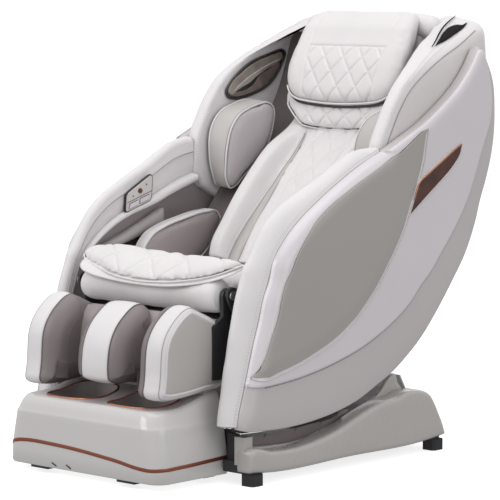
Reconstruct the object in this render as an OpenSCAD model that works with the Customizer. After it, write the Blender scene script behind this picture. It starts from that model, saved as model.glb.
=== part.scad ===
// Massage chair: reclining chair with side shells, powered back, leg rest and
// foot rest, on a pedestal base. Millimetres, +Z up, the sitter faces -Y and
// the sitter's left is +X. The origin is on the floor under the middle of the
// chair's outline.

/* [Side shells] */
// Outer face of each side shell from the centre plane
shell_x = 408; // [404:1:412]
// Inner edge of each side shell from the centre plane
shell_in_x = 366; // [365:1:370]
// Thickness of the moulded shell skin
shell_wall = 6; // [4:0.5:8]
// How far the inlaid side panel stands out of the shell
panel_t = 4; // [3:0.5:5]

// Inner face of the arms and front edges from the centre plane
arm_in_x = 306; // [304:0.5:308]

/* [Base] */
// Outer face of the base side covers from the centre plane
base_x = 400; // [398:1:402]
// Wall thickness of the base covers
base_wall = 4; // [3:0.5:5]
// Height of the rubber feet
foot_h = 30; // [29:0.5:30]
// Width of each rubber foot
foot_w = 45; // [40:1:46]

/* [Seat] */
// Half width of the seat cushion
seat_half = 246; // [240:1:248]
// Thickness of the seat cushion
seat_t = 45; // [40:1:46]
// Radius of the rolled front edge of the seat
roll_r = 48; // [44:1:50]

/* [Back] */
// Half width of the back cushion
back_half = 195; // [190:1:198]
// Half width of the head pillow
pillow_half = 212; // [206:1:214]
// Inner face of the shoulder wings from the centre plane
wing_in = 312; // [311:0.5:314]
// Outer face of the shoulder wings from the centre plane
wing_out = 357; // [354:1:358]

/* [Massage mechanism] */
// Radius of the back guide rails
rail_r = 12; // [10:0.5:13]
// Radius of the kneading rollers
roller_r = 24; // [20:1:25]
// Radius of the sole rollers in the foot wells
sole_r = 26; // [20:1:28]

/* [Leg rest] */
// Half width of the calf cushions
calf_half = 240; // [236:1:240]
// Half width of the centre divider of the leg rest
divider_half = 40; // [34:1:42]
// Half width of the foot housing at its base
foot_half = 285; // [280:1:286]

/* [Controls] */
// Thickness of the control panel on the right arm
ctrl_t = 6; // [5.6:0.1:6.4]
// Height that the keys stand above the control panel
key_up = 3; // [2:0.5:4]

/* [Hidden] */
$fn = 48;
y0 = -378;              // moves the drawing's front-foot datum to the row origin
run = 0.05;             // radial running clearance of every pin
MP = [340, 330];        // main pivot, seat on base
BP = [470, 430];        // back pivot
LP = [30, 478];         // leg rest pivot
TL = [340, 140];        // tilt lever pin
RL = [500, 350];        // recline lever tube
LL = [73, 410.5];       // leg rest lever tube
RO = [640, 550];        // lower end of the guide rails' line
rail_a = 44;            // lean of the guide rails from upright
main_r = 12.5;
backp_r = 10;
legp_r = 8;
rod_r = 10;
ctrl_x = arm_in_x - 0.2;   // back of the control panel

// side outlines, as [y, z] from the front-foot datum
shell_pts = [[-50,150],[-37,143],[1,141],[77,137],[154,138],[232,144],[312,156],[393,176],
  [474,209],[538,237],[601,276],[635,300],[673,332],[703,362],[750,413],[793,464],[835,516],
  [850,543],[893,623],[912,677],[936,731],[956,786],[969,841],[974,924],[964,1007],[936,1063],
  [903,1099],[868,1052],[803,986],[717,930],[590,866],[504,829],[431,801],[350,763],[271,721],
  [193,674],[154,645],[116,609],[85,568],[70,523],[47,473],[32,423],[10,361],[-2,323],
  [-17,273],[-32,224],[-47,174]];
face_pts = [[-32,166],[1,158],[77,154],[154,155],[232,161],[312,173],[388,193],[467,226],
  [531,254],[592,292],[662,346],[690,375],[735,424],[778,475],[819,524],[834,550],[876,631],
  [895,684],[918,737],[938,790],[950,842],[955,922],[945,1001],[920,1052],[901,1076],[880,1042],
  [812,974],[724,916],[655,893],[625,878],[547,833],[465,794],[383,759],[323,731],[264,701],
  [212,668],[165,625],[134,588],[111,551],[88,514],[73,476],[58,426],[35,376],[20,340],
  [1,304],[-11,280],[-20,240],[-33,190]];
hollow_pts = [[0,178],[154,172],[312,190],[467,246],[575,302],[662,372],[760,478],[815,556],
  [880,700],[925,840],[930,930],[905,1030],[870,1000],[812,955],[724,898],[600,836],[465,776],
  [323,712],[212,650],[134,568],[88,470],[45,360],[20,290],[0,235]];
leaf_pts = [[-6,279],[4,276],[69,285],[146,302],[224,327],[303,359],[371,400],[403,429],
  [444,468],[505,538],[546,593],[583,661],[616,731],[633,763],[645,802],[653,843],[662,885],
  [632,876],[549,829],[467,790],[385,755],[325,727],[266,697],[215,664],[169,621],[138,585],
  [115,548],[92,511],[77,474],[62,424],[39,374],[24,337],[5,301]];
slit_pts = [[587,660],[629,687],[672,715],[714,742],[779,790],[805,824],[807,838],[735,803],
  [671,769],[620,737],[604,697]];
arm_up = [[33,571],[62,546],[130,562],[185,585],[300,629],[400,671],[500,712],
  [500,834],[429,828],[381,806],[321,775],[242,740],[203,722],[165,704],[126,678],[96,650],
  [69,614],[45,578]];
lip_pts = [[110,549],[185,578],[300,622],[400,664],[500,706],[500,741],
  [400,699],[300,657],[185,611],[110,582]];
trim_pts = [[-72,158],[-36,164],[-20,232],[-4,302],[14,376],[32,450],[54,512],[60,545],
  [31,569],[22,548],[12,520],[-5,476],[-18,426],[-31,375],[-41,325],[-48,299],[-59,236],[-70,178]];
wing_pts = [[507,745],[545,697],[640,655],[700,650],[800,704],[872,724],[905,640],[922,618],
  [950,668],[975,725],[993,790],[1000,870],[996,960],[990,1050],[987,1110],[986,1150],
  [975,1176],[950,1180],[905,1156],[850,1130],[796,1107],[738,1079],[692,1053],[652,1027],
  [619,1000],[593,970],[572,942],[547,900],[525,860],[512,820]];
bag_pts = [[478,808],[490,770],[520,730],[548,700],[580,705],[620,745],[670,800],
  [718,850],[735,905],[700,950],[640,955],[560,925],[510,890],[485,850]];
calf_pts = [[-62,452],[-112,445],[-166,404],[-195,356],[-203,281],[-210,231],
  [-185,216],[-95,218],[-36,224],[-36,430]];
divide_pts = [[-58,448],[-100,440],[-150,404],[-178,356],[-186,300],[-184,262],
  [-170,250],[-95,250],[-36,250],[-36,430]];
inner_pts = [[-44,428],[-66,400],[-76,330],[-72,250],[-36,240],[-36,430]];
housing_pts = [[-35.5,428],[-35.5,224],[24,230],[62,382],[40,412],[0,415]];
base_pts = [[-27,34],[40,28],[360,28],[700,32],[764,40],[733,105],[697,157],[667,174],
  [603,178],[561,167],[498,161],[436,146],[375,127],[314,107],[235,91],[156,82],
  [60,84],[-27,93]];
saddle_pts = [[0,60],[660,60],[644,154],[618,193],[601,222],[575,210],[542,177],
  [418,129],[218,87],[6,95]];
foot_side = [[-246,28],[4,28],[10,60],[14,228],[-62,215],[-135,199],[-200,198],
  [-222,190],[-234,170],[-246,60]];
foot_front = [[-foot_half,28],[foot_half,28],[foot_half-2,60],[foot_half-16,140],
  [252,190],[246,236],[-246,236],[-252,190],[16-foot_half,140],[2-foot_half,60]];

// outline shrunk by d (grown when d is negative); points run anticlockwise
function unit(v) = v / norm(v);
function inset(p, d) = [for (i = [0:len(p)-1])
  let (a = p[(i + len(p) - 1) % len(p)], b = p[i], c = p[(i + 1) % len(p)],
       u = unit(b - a), v = unit(c - b), n1 = [-u[1], u[0]], n2 = [-v[1], v[0]],
       m = unit(n1 + n2), k = max(0.45, m * n1))
  b + m * (d / k)];
// rounded oval with half axes a, b; e sets how square it is
function oval(a, b, e, n) = [for (i = [0:n-1]) let (t = 360 * i / n, c = cos(t), s = sin(t))
  [a * sign(c) * pow(abs(c), e), b * sign(s) * pow(abs(s), e)]];

module W() translate([0, y0, 0]) children();
module px(x1, x2, pts) translate([x1, 0, 0]) rotate([90, 0, 90]) linear_extrude(x2 - x1) polygon(pts);
module bx(a, b) translate(a) cube([b[0] - a[0], b[1] - a[1], b[2] - a[2]]);
module tx(x1, x2, p, r) translate([x1, p[0], p[1]]) rotate([0, 90, 0]) cylinder(h = x2 - x1, r = r);
module ty(x, ya, yb, z, r) translate([x, ya, z]) rotate([-90, 0, 0]) cylinder(h = yb - ya, r = r);
module both() { children(); mirror([1, 0, 0]) children(); }
module left() children();
module right() mirror([1, 0, 0]) children();
// frame along the guide rails: z runs up the rails, y points to the rear
module rail() translate([0, RO[0], RO[1]]) rotate([-rail_a, 0, 0]) children();

// ---- base
module base_frame() color("dimgray") W() difference() {
  union() {
    both() {
      bx([284, 26, 30], [324, 708, 70]);
      px(282, 292, [[230,70],[450,70],[372,330],[364,352],[340,362],[316,352],[308,330]]);
    }
    bx([-324, 26, 30], [324, 56, 60]);
    both() bx([292, -20, 30], [388, 30, 60]);
    bx([-388, 708, 30], [388, 744, 60]);
    bx([-284, 60, 30], [284, 100, 60]);
    bx([-28, 64, 60], [28, 96, 104.8]);
    both() bx([196, 660, 30], [204, 709, 60]);
    both() bx([246, 660, 30], [254, 709, 60]);
  }
  both() tx(280, 296, MP, main_r + run);
  tx(-260, 260, [674, 40], 6 + run);
}
module base_cover() {
  t = base_wall;
  difference() {
    px(340, base_x, base_pts);
    px(334, base_x - t, concat([[-27 + t, 20], [762 - t, 20]], [for (i = [4:17]) inset(base_pts, t)[i]]));
    bx([330, -60, 0], [345, 800, 60]);
  }
  difference() {
    px(340 - t, 340, saddle_pts);
    bx([330, -60, 0], [345, 800, 70.5]);
  }
}
module base_cover_left() color("lightgray") W() left() base_cover();
module base_cover_right() color("lightgray") W() right() base_cover();
module base_front_cover() color("gray") W() difference() {
  bx([-335, 18, 34], [335, 22, 104]);
  both() bx([291.5, 10, 30], [336, 30, 60.5]);
}
module base_rear_cover() color("lightgray") W() {
  tx(-73, -51, [746, 80], 2);
  difference() {
  px(-335, 335, [[640,212],[664,172],[697,157],[742,112],[757,60],[760,36],[756,36],[753,60],
    [738,110],[694,153],[661,168],[636,210]]);
  bx([-334, 750, 30], [334, 753, 60]);
  bx([-136, 735, 66], [-104, 765, 94]);
  bx([-72.5, 735, 66], [-51.5, 765, 94]);
  }
}
module base_feet() color("black") W() both() for (y = [0, 731])
  translate([376, y, 0]) intersection() {
    bx([-foot_w/2, -foot_w/2, 0], [foot_w/2, foot_w/2, foot_h]);
    rotate([0, 0, 45]) bx([-27, -27, -1], [27, 27, foot_h + 1]);
  }
module main_pivot_pins() color("silver") W() both() {
  tx(266, 300, MP, main_r);
  tx(300, 306, MP, main_r + 6);
}
module tilt_actuator() color("dimgray") W() difference() {
  union() {
    ty(0, 58, 245, TL[1], 22);
    bx([-34, 58, 105], [34, 112, 172]);
    ty(52, 58, 150, 142, 17);
    bx([30, 64, 130], [52, 104, 154]);
  }
  ty(0, 66, 250, TL[1], rod_r + run);
}
module tilt_rod() color("silver") W() difference() {
  union() {
    ty(0, 110, 312, TL[1], rod_r);
    bx([-15, 300, 122], [15, 322, 158]);
    both() bx([8.5, 312, 118], [15, 364, 164]);
  }
  bx([-30, TL[0] - 7.6, 130], [30, TL[0] + 7.6, 154]);
}
module power_inlet() color("black") W() difference() {
  bx([-135.5, 730, 66.5], [-104.5, 762, 93.5]);
  bx([-131, 744, 71], [-109, 764, 89]);
}
module power_switch() color("black") W() difference() {
  px(-70.5, -53.5, [[738,69],[752,69],[757,72],[755,80],[760,90],[752,91],[738,91]]);
  tx(-75, -50, [746, 80], 2 + run);
}
module transport_wheels() color("black") W() {
  both() tx(210, 240, [674, 40], 28);
  tx(-258, 258, [674, 40], 6);
}

// ---- seat carrier
module seat_frame() color("dimgray") W() difference() {
  union() {
    both() {
      px(270, 278, [[12,478],[18,462],[90,340],[290,300],[305,225],[375,225],[385,300],
        [478,392],[506,410],[508,440],[490,464],[455,468],[420,458],[120,458],[60,490],
        [48,496],[30,500],[14,492]]);
      tx(278, 366, [110, 380], 12);
      tx(278, 366, [410, 405], 12);
    }
    tx(-270, 270, [340, 250], 16);
    tx(-270, 270, [130, 372], 12);
    bx([-270, 90, 444], [270, 440, 452]);
    px(-6, 6, [[322,250],[326,140],[331,129],[340,126],[349,129],[354,140],[358,250]]);
    tx(-19, 19, TL, 6);
    bx([40, 196, 312], [100, 204, 444]);
    bx([-100, 196, 312], [-40, 204, 444]);
    bx([-270, 196, 312], [270, 204, 324]);
  }
  both() tx(262, 284, MP, main_r + run);
  both() tx(262, 284, BP, backp_r + run);
  both() tx(262, 284, LP, legp_r + run);
  ty(70, 190, 210, 346, 22.2);
  ty(-70, 190, 210, 400, 20.2);
}
module back_pivot_pins() color("silver") W() both() {
  tx(252, 280, BP, backp_r);
  tx(280, 285, BP, backp_r + 5);
}
module legrest_pivot_pins() color("silver") W() both() {
  tx(248.5, 280, LP, legp_r);
  tx(280, 285, LP, legp_r + 5);
}
module side_shell() difference() {
  union() {
    px(shell_in_x, shell_x - 20, shell_pts);
    px(shell_x - 22, shell_x, face_pts);
  }
  px(shell_in_x - 4, shell_x - shell_wall, hollow_pts);
}
module side_shell_left() color("gainsboro") W() left() side_shell();
module side_shell_right() color("gainsboro") W() right() side_shell();
module side_panels() color("darkgray") W() both() difference() {
  px(shell_x, shell_x + panel_t, leaf_pts);
  px(shell_x - 2, shell_x + 8, slit_pts);
}
module accent_strips() color("chocolate") W() both() px(shell_x, shell_x + panel_t + 1, inset(slit_pts, 0.6));
module edge_trim_left() color("whitesmoke") W() left() px(arm_in_x, shell_in_x - 0.5, trim_pts);
module edge_trim_right() color("whitesmoke") W() right() px(arm_in_x, shell_in_x - 0.5, trim_pts);
module arm() {
  px(arm_in_x, shell_in_x - 0.5, arm_up);
  px(arm_in_x - 6, arm_in_x + 1, lip_pts);
}
module arm_left() color("whitesmoke") W() left() arm();
module arm_right() color("whitesmoke") W() right() arm();
module forearm_pads() color("rosybrown") W() both() {
  px(306, 349, [[110,505],[400,505],[400,566],[330,550],[180,527],[110,520]]);
  px(330, 349, [[150,545],[200,546],[330,576],[400,594],[400,655],[300,612],[185,568]]);
}
// the panel's own corners, as [y, z] on the arm's inner face
ctrl_pts = [[217,658],[223,646],[311,684],[321,696],[323,734],[315,743],[239,706],[225,692]];
key_a = [[227,658],[266,675],[268,688],[230,670]];
key_b = [[272,677],[311,694],[313,707],[274,690]];
module control_panel() color("silver") W() right() difference() {
  px(ctrl_x - ctrl_t, ctrl_x, ctrl_pts);
  px(290, ctrl_x - 1.2, inset(key_a, -0.5));
  px(290, ctrl_x - 1.2, inset(key_b, -0.5));
  tx(290, ctrl_x - 1.2, [271, 706], 7.5);
}
module key_front() color("gainsboro") W() right() px(ctrl_x - ctrl_t - key_up, ctrl_x - 3, key_a);
module key_rear() color("gainsboro") W() right() px(ctrl_x - ctrl_t - key_up, ctrl_x - 3, key_b);
module select_button() color("black") W() right() tx(ctrl_x - ctrl_t - key_up - 1, ctrl_x - 3, [271, 706], 7);
module seat_pad() color("whitesmoke") W() px(-seat_half, seat_half, [[86,453],[440,453],
  [440,453 + seat_t],[400,453 + seat_t],[200,455 + seat_t],[90,505]]);
module seat_front_roll() color("whitesmoke") W() tx(-244, 244, LP, roll_r);
module seat_flap() color("white") W() px(-282, 282, [[-20,532],[30,536],[80,556],[80,564],
  [30,548],[-20,540]]);
module thigh_pads() color("rosybrown") W() both() px(252, 296, [[236,482],[440,486],
  [508,523],[552,590],[556,622],[528,632],[406,620],[287,590],[248,556]]);
module lower_rear_cover() color("lightgray") W() px(-shell_in_x + 1, shell_in_x - 1, [[612,292],
  [648,322],[688,360],[720,398],[714,402],[683,365],[643,327],[608,298]]);
module recline_actuator() color("dimgray") W() difference() {
  union() {
    ty(70, 180, 400, 346, 22);
    ty(70, 150, 180, 346, 26);
    ty(116, 150, 240, 346, 15);
    bx([80, 156, 336], [116, 176, 356]);
  }
  ty(70, 156, 410, 346, rod_r + run);
}
module recline_rod() color("silver") W() difference() {
  union() {
    ty(70, 226, 478, 346, rod_r);
    bx([60, 470, 326], [80, 522, 370]);
  }
  bx([55, RL[0] - 13.8, 331], [85, RL[0] + 13.8, 365]);
}
module legrest_actuator() color("dimgray") W() difference() {
  union() {
    ty(-70, 150, 330, 400, 20);
    ty(-70, 330, 362, 400, 24);
    ty(-112, 280, 362, 400, 15);
    bx([-112, 334, 390], [-80, 356, 410]);
  }
  ty(-70, 145, 352, 400, rod_r + run);
}
module legrest_rod() color("silver") W() difference() {
  union() {
    ty(-70, 88, 340, 400, rod_r);
    bx([-80, 55, 372], [-60, 92, 416]);
  }
  bx([-85, LL[0] - 9.6, 388], [-55, LL[0] + 9.6, 420]);
}

// ---- back
module back_frame() color("dimgray") W() difference() {
  union() {
    both() px(258, 266, [[446,418],[484,342],[500,334],[516,342],[520,372],[560,424],
      [641,493],[820,678],[966,850],[974,960],[955,1040],[942,1084],[915,1084],[922,1030],
      [918,960],[904,890],[640,612],[560,505],[500,452],[470,456],[448,440]]);
    tx(-258, 258, RL, 12);
    rail() bx([-262, -16, -32], [262, 16, -20]);
    rail() bx([-262, -16, 432], [262, 16, 444]);
    tx(-285, 285, [944, 1000], 12);
    both() tx(266, 312, [940, 900], 10);
    both() tx(266, 312, [722, 682], 10);
  }
  both() tx(250, 270, BP, backp_r + run);
}
front_line = [[450,515],[545,640],[640,745],[735,835],[800,905],[845,975],[880,1060],[898,1135]];
module back_pad() color("whitesmoke") W() {
  px(-back_half, back_half, concat(front_line, [[925,1120],[924,1052],[886,952],[838,872],[770,800],
    [675,712],[585,610],[500,512]]));
  both() px(148, back_half, [[450,515],[425,548],[470,625],[531,690],[643,774],[700,838],
    [735,880],[780,930],[800,905],[735,835],[640,745],[545,640]]);
}
module back_cover() color("gainsboro") W() difference() {
  px(-wing_in + 0.5, wing_in - 0.5, [[800,420],[840,462],[880,515],[915,562],[950,600],[975,660],
    [992,730],[1002,800],[1000,870],[996,960],[990,1050],[984,1110],[975,1145],[962,1168],
    [956,1163],[967.5,1141.5],[976.5,1108.5],[982.5,1049.5],[988.5,959.5],[992.5,869.5],[994.5,800],[984.5,731],[967.5,662.5],[943.5,604.5],[909,566.5],
    [874,519.5],[834,467],[794,425]]);
  both() lean() bx([wing_in - 0.5, 700, 930], [wing_out + 90, 1100, 1250]);
}
module top_bolster() color("whitesmoke") W() px(-wing_in + 62, wing_in - 62, [[900,1138],
  [927,1124],[941,1122],[948,1126],[946,1150],[932,1182],[912,1192],[894,1186],[890,1160]]);
module head_pillow() color("white") W() {
  px(-pillow_half, pillow_half, [[884,1170],[828,1080],[785,1000],[752,938],[770,934],
    [800,968],[838,1020],[868,1080],[889,1140]]);
  px(-128, 128, [[748,932],[736,905],[738,872],[752,864],[770,884],[796,925],[786,932]]);
}
// the upper part of each wing leans inward
module lean() translate([wing_in, 0, 930]) rotate([0, -15, 0]) translate([-wing_in, 0, -930]) children();
module shoulder_wing() {
  intersection() {
    px(wing_in, wing_out, wing_pts);
    bx([wing_in - 1, 400, 600], [wing_out + 1, 1100, 932]);
  }
  lean() intersection() {
    px(wing_in, wing_out, wing_pts);
    bx([wing_in - 1, 400, 918], [wing_out + 1, 1100, 1200]);
  }
}
module shoulder_wing_left() color("gainsboro") W() left() shoulder_wing();
module shoulder_wing_right() color("gainsboro") W() right() shoulder_wing();
module shoulder_airbags() color("rosybrown") W() both() px(215, 296, bag_pts);
module speaker_windows() color("saddlebrown") W() both() lean() px(304, wing_in, [[632,962],[652,946],
  [702,945],[786,966],[850,1010],[885,1074],[800,1065],[720,1040],[650,990]]);
module vent_grilles() color("black") W() both() lean() translate([335, 928, 1168.3]) rotate([28, 0, 0]) bx([-20, -20, 0], [20, 20, 5]);
module guide_rails() color("silver") W() rail() both() translate([150, 0, -20]) cylinder(h = 452, r = rail_r);
module massage_carriage() color("dimgray") W() rail() difference() {
  union() {
    both() translate([150, 0, 40]) cylinder(h = 80, r = 20);
    bx([-150, -16, 50], [150, 18, 110]);
    both() bx([70, -44, 62], [84, -10, 98]);
    bx([-40, 18, 56], [40, 46, 104]);
  }
  both() translate([150, 0, 30]) cylinder(h = 100, r = rail_r + run);
  translate([0, -30, 80]) both() tx(60, 90, [0, 0], 8 + run);
}
module massage_arms() color("gray") W() rail() {
  tx(-88, 88, [-30, 80], 8);
  both() px(56, 64, [[-42,88],[-46,140],[-40,148],[-34,140],[-20,88],[-20,72],[-34,20],[-40,12],[-46,20],[-42,72]]);
  for (z = [20, 140]) both() tx(26, 60, [-40, z], 5);
}
module pair(z) W() rail() both() difference() {
  tx(29, 53, [-40, z], roller_r);
  tx(20, 60, [-40, z], 5 + run);
}
module rollers_upper() color("black") pair(140);
module rollers_lower() color("black") pair(20);

// ---- leg rest
module calf_frame() color("dimgray") W() difference() {
  union() {
    both() px(250, 262, [[12,478],[16,488],[30,496],[44,488],[50,470],[90,414],[84,398],
      [66,390],[50,300],[40,262],[-26,262],[-26,400],[14,424]]);
    tx(-250, 250, LL, 8);
    tx(-250, 250, [-12, 385], 11);
    tx(-250, 250, [-12, 290], 11);
    both() translate([200, -12, 75]) cylinder(h = 318, r = 9);
  }
  both() tx(245, 266, LP, legp_r + run);
}
module calf_housing() color("gainsboro") W() difference() {
  px(-calf_half, calf_half, housing_pts);
  px(-calf_half + 4, calf_half - 4, concat([[-60,424.5],[-60,228]], [for (i = [2:5]) inset(housing_pts, 4)[i]]));
  both() translate([200, -12, 200]) cylinder(h = 60, r = 11);
  both() tx(200, 260, [-12, 385], 12);
  both() tx(200, 260, [-12, 290], 12);
  bx([-84, 38, 364], [-56, 70, 422]);
}
module calf_side_pads() color("whitesmoke") W() both() px(160, calf_half + 5, calf_pts);
module calf_inner_pads() color("rosybrown") W() {
  px(-divider_half, divider_half, divide_pts);
  both() px(divider_half + 0.5, 159.5, inner_pts);
}
module foot_body(d) intersection() {
  px(-400, 400, inset(foot_side, d));
  translate([0, 100, 0]) rotate([90, 0, 0]) linear_extrude(500) polygon(inset(foot_front, d));
}
module wells(a, b) both() translate([115, -127, 0]) linear_extrude(300) polygon(oval(a, b, 0.62, 40));
module foot_housing() color("gainsboro") W() difference() {
  union() {
    difference() {
      foot_body(0);
      translate([0, 0, -8]) foot_body(5);
    }
    intersection() {
      foot_body(1);
      union() {
        intersection() { wells(88, 83); bx([-400, -300, 44], [400, 100, 300]); }
        both() translate([200, -12, 40]) cylinder(h = 190, r = 14);
      }
    }
  }
  intersection() { wells(83, 78); bx([-400, -300, 50], [400, 100, 300]); }
  both() translate([200, -12, 20]) cylinder(h = 230, r = 9 + run);
  tx(-215, 215, [-127, 82], 6 + run);
  bx([-235, -60, 214], [235, 30, 260]);
}
module foot_trim() color("peru") W() {
  intersection() {
    difference() { foot_body(-1.5); foot_body(0); }
    px(-400, 400, [[-260,84],[-180,88],[-60,104],[30,118],[30,127],[-60,113],[-180,97],[-260,93]]);
  }
  intersection() {
    difference() { foot_body(-2); foot_body(0); }
    difference() { wells(91, 86); wells(83, 78); }
    bx([-400, -300, 150], [400, -66, 260]);
  }
}
module foot_rollers() color("dimgray") W() {
  tx(-204, 204, [-127, 82], 6);
  both() for (x = [68, 106, 144]) tx(x, x + 18, [-127, 82], sole_r);
}
module foot_glides() color("black") W() both() {
  bx([128, -243, 12], [192, -205, 28]);
  bx([225, -60, 12], [262, -20, 28]);
}

base_frame();
base_cover_left();
base_cover_right();
base_front_cover();
base_rear_cover();
base_feet();
main_pivot_pins();
tilt_actuator();
tilt_rod();
power_inlet();
power_switch();
transport_wheels();
seat_frame();
back_pivot_pins();
legrest_pivot_pins();
side_shell_left();
side_shell_right();
side_panels();
accent_strips();
edge_trim_left();
edge_trim_right();
arm_left();
arm_right();
forearm_pads();
control_panel();
key_front();
key_rear();
select_button();
seat_pad();
seat_front_roll();
seat_flap();
thigh_pads();
lower_rear_cover();
recline_actuator();
recline_rod();
legrest_actuator();
legrest_rod();
back_frame();
back_pad();
back_cover();
top_bolster();
head_pillow();
shoulder_wing_left();
shoulder_wing_right();
shoulder_airbags();
speaker_windows();
vent_grilles();
guide_rails();
massage_carriage();
massage_arms();
rollers_upper();
rollers_lower();
calf_frame();
calf_housing();
calf_side_pads();
calf_inner_pads();
foot_housing();
foot_trim();
foot_rollers();
foot_glides();
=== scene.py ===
import math
import bpy
import numpy as np
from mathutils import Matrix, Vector, geometry


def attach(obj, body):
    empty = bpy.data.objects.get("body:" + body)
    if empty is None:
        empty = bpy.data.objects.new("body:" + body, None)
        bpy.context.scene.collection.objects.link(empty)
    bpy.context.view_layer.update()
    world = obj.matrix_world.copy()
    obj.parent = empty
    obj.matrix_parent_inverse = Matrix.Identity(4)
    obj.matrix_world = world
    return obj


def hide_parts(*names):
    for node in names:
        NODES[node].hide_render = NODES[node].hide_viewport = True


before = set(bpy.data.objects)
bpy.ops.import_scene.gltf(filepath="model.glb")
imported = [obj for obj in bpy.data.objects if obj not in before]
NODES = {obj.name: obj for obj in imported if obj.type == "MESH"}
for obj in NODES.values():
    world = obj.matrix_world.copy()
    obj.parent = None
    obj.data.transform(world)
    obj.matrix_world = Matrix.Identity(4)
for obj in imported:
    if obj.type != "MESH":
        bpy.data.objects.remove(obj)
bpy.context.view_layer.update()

Y0 = -378.0          # the drawing's y to the row frame's y, in mm


# ------------------------------------------------------------------ helpers
def M(p):
    p = np.asarray(p, float)
    q = p.copy()
    q[..., 1] += Y0
    return q * 0.001


def unit(v):
    v = np.asarray(v, float)
    n = np.linalg.norm(v, axis=-1, keepdims=True)
    return v / np.where(n < 1e-12, 1, n)


def resample(Q, n=None, step=None, closed=False):
    Q = np.asarray(Q, float)
    R = np.vstack([Q, Q[:1]]) if closed else Q
    s = np.concatenate([[0], np.cumsum(np.linalg.norm(np.diff(R, axis=0), axis=1))])
    keep = np.concatenate([[True], np.diff(s) > 1e-9])
    R, s = R[keep], s[keep]
    if n is None:
        n = max(3, int(round(s[-1] / step)) + (0 if closed else 1))
    t = np.linspace(0, s[-1], n + 1)[:-1] if closed else np.linspace(0, s[-1], n)
    return np.stack([np.interp(t, s, R[:, k]) for k in range(R.shape[1])], 1)


def curve(P, closed=False, corners=(), n=None, step=5.0, raw=False):
    """a smooth line through the points; the listed corners stay sharp"""
    P = np.asarray(P, float)
    N = len(P)
    seg = N if closed else N - 1
    corners = {c % N for c in corners}
    h = [max(1e-9, np.linalg.norm(P[(i + 1) % N] - P[i])) for i in range(seg)]
    d = [(P[(i + 1) % N] - P[i]) / h[i] for i in range(seg)]

    def tan(i, out):
        if not closed and i == 0:
            return d[0]
        if not closed and i == N - 1:
            return d[-1]
        if i in corners:
            return d[i % seg] if out else d[i - 1]
        a, b = h[i - 1], h[i % seg]
        return (d[i - 1] * b + d[i % seg] * a) / (a + b)
    out = []
    for i in range(seg):
        j = (i + 1) % N
        m0, m1 = tan(i, True) * h[i], tan(j, False) * h[i]
        for k in range(14):
            t = k / 14
            out.append((2 * t**3 - 3 * t**2 + 1) * P[i] + (t**3 - 2 * t**2 + t) * m0
                       + (3 * t**2 - 2 * t**3) * P[j] + (t**3 - t**2) * m1)
    if not closed:
        out.append(P[-1])
    out = np.array(out)
    return out if raw else resample(out, n=n, step=step, closed=closed)


def offset(Q, d, closed=True):
    """moves an outline inward by d (anticlockwise outlines)"""
    Q = np.asarray(Q, float)
    if closed:
        t = np.roll(Q, -1, 0) - np.roll(Q, 1, 0)
    else:
        t = np.gradient(Q, axis=0)
    t = unit(t)
    return Q + np.stack([-t[:, 1], t[:, 0]], 1) * np.reshape(d, (-1, 1))


def area(Q):
    x, y = Q[:, 0], Q[:, 1]
    return 0.5 * np.sum(x * np.roll(y, -1) - y * np.roll(x, -1))


def ccw(Q):
    return Q if area(Q) > 0 else Q[::-1].copy()


def seg_dist(P, Q, closed=True):
    """distance from the points P to the line Q"""
    A = np.asarray(Q, float)
    B = np.roll(A, -1, 0) if closed else A[1:]
    if not closed:
        A = A[:-1]
    out = np.full(len(P), 1e9)
    for k in range(0, len(P), 4000):
        p = P[k:k + 4000, None, :]
        ab = (B - A)[None]
        t = np.clip(np.sum((p - A[None]) * ab, -1) / np.maximum(np.sum(ab * ab, -1), 1e-12), 0, 1)
        out[k:k + 4000] = np.sqrt(np.min(np.sum((p - A[None] - ab * t[..., None])**2, -1), 1))
    return out


def inside(P, Q):
    x, y = P[:, 0:1], P[:, 1:2]
    a, b = Q, np.roll(Q, -1, 0)
    c = (a[:, 1] > y) != (b[:, 1] > y)
    with np.errstate(divide="ignore", invalid="ignore"):
        xi = a[:, 0] + (y - a[:, 1]) * (b[:, 0] - a[:, 0]) / (b[:, 1] - a[:, 1])
    return np.sum(c & (x < xi), 1) % 2 == 1


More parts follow.
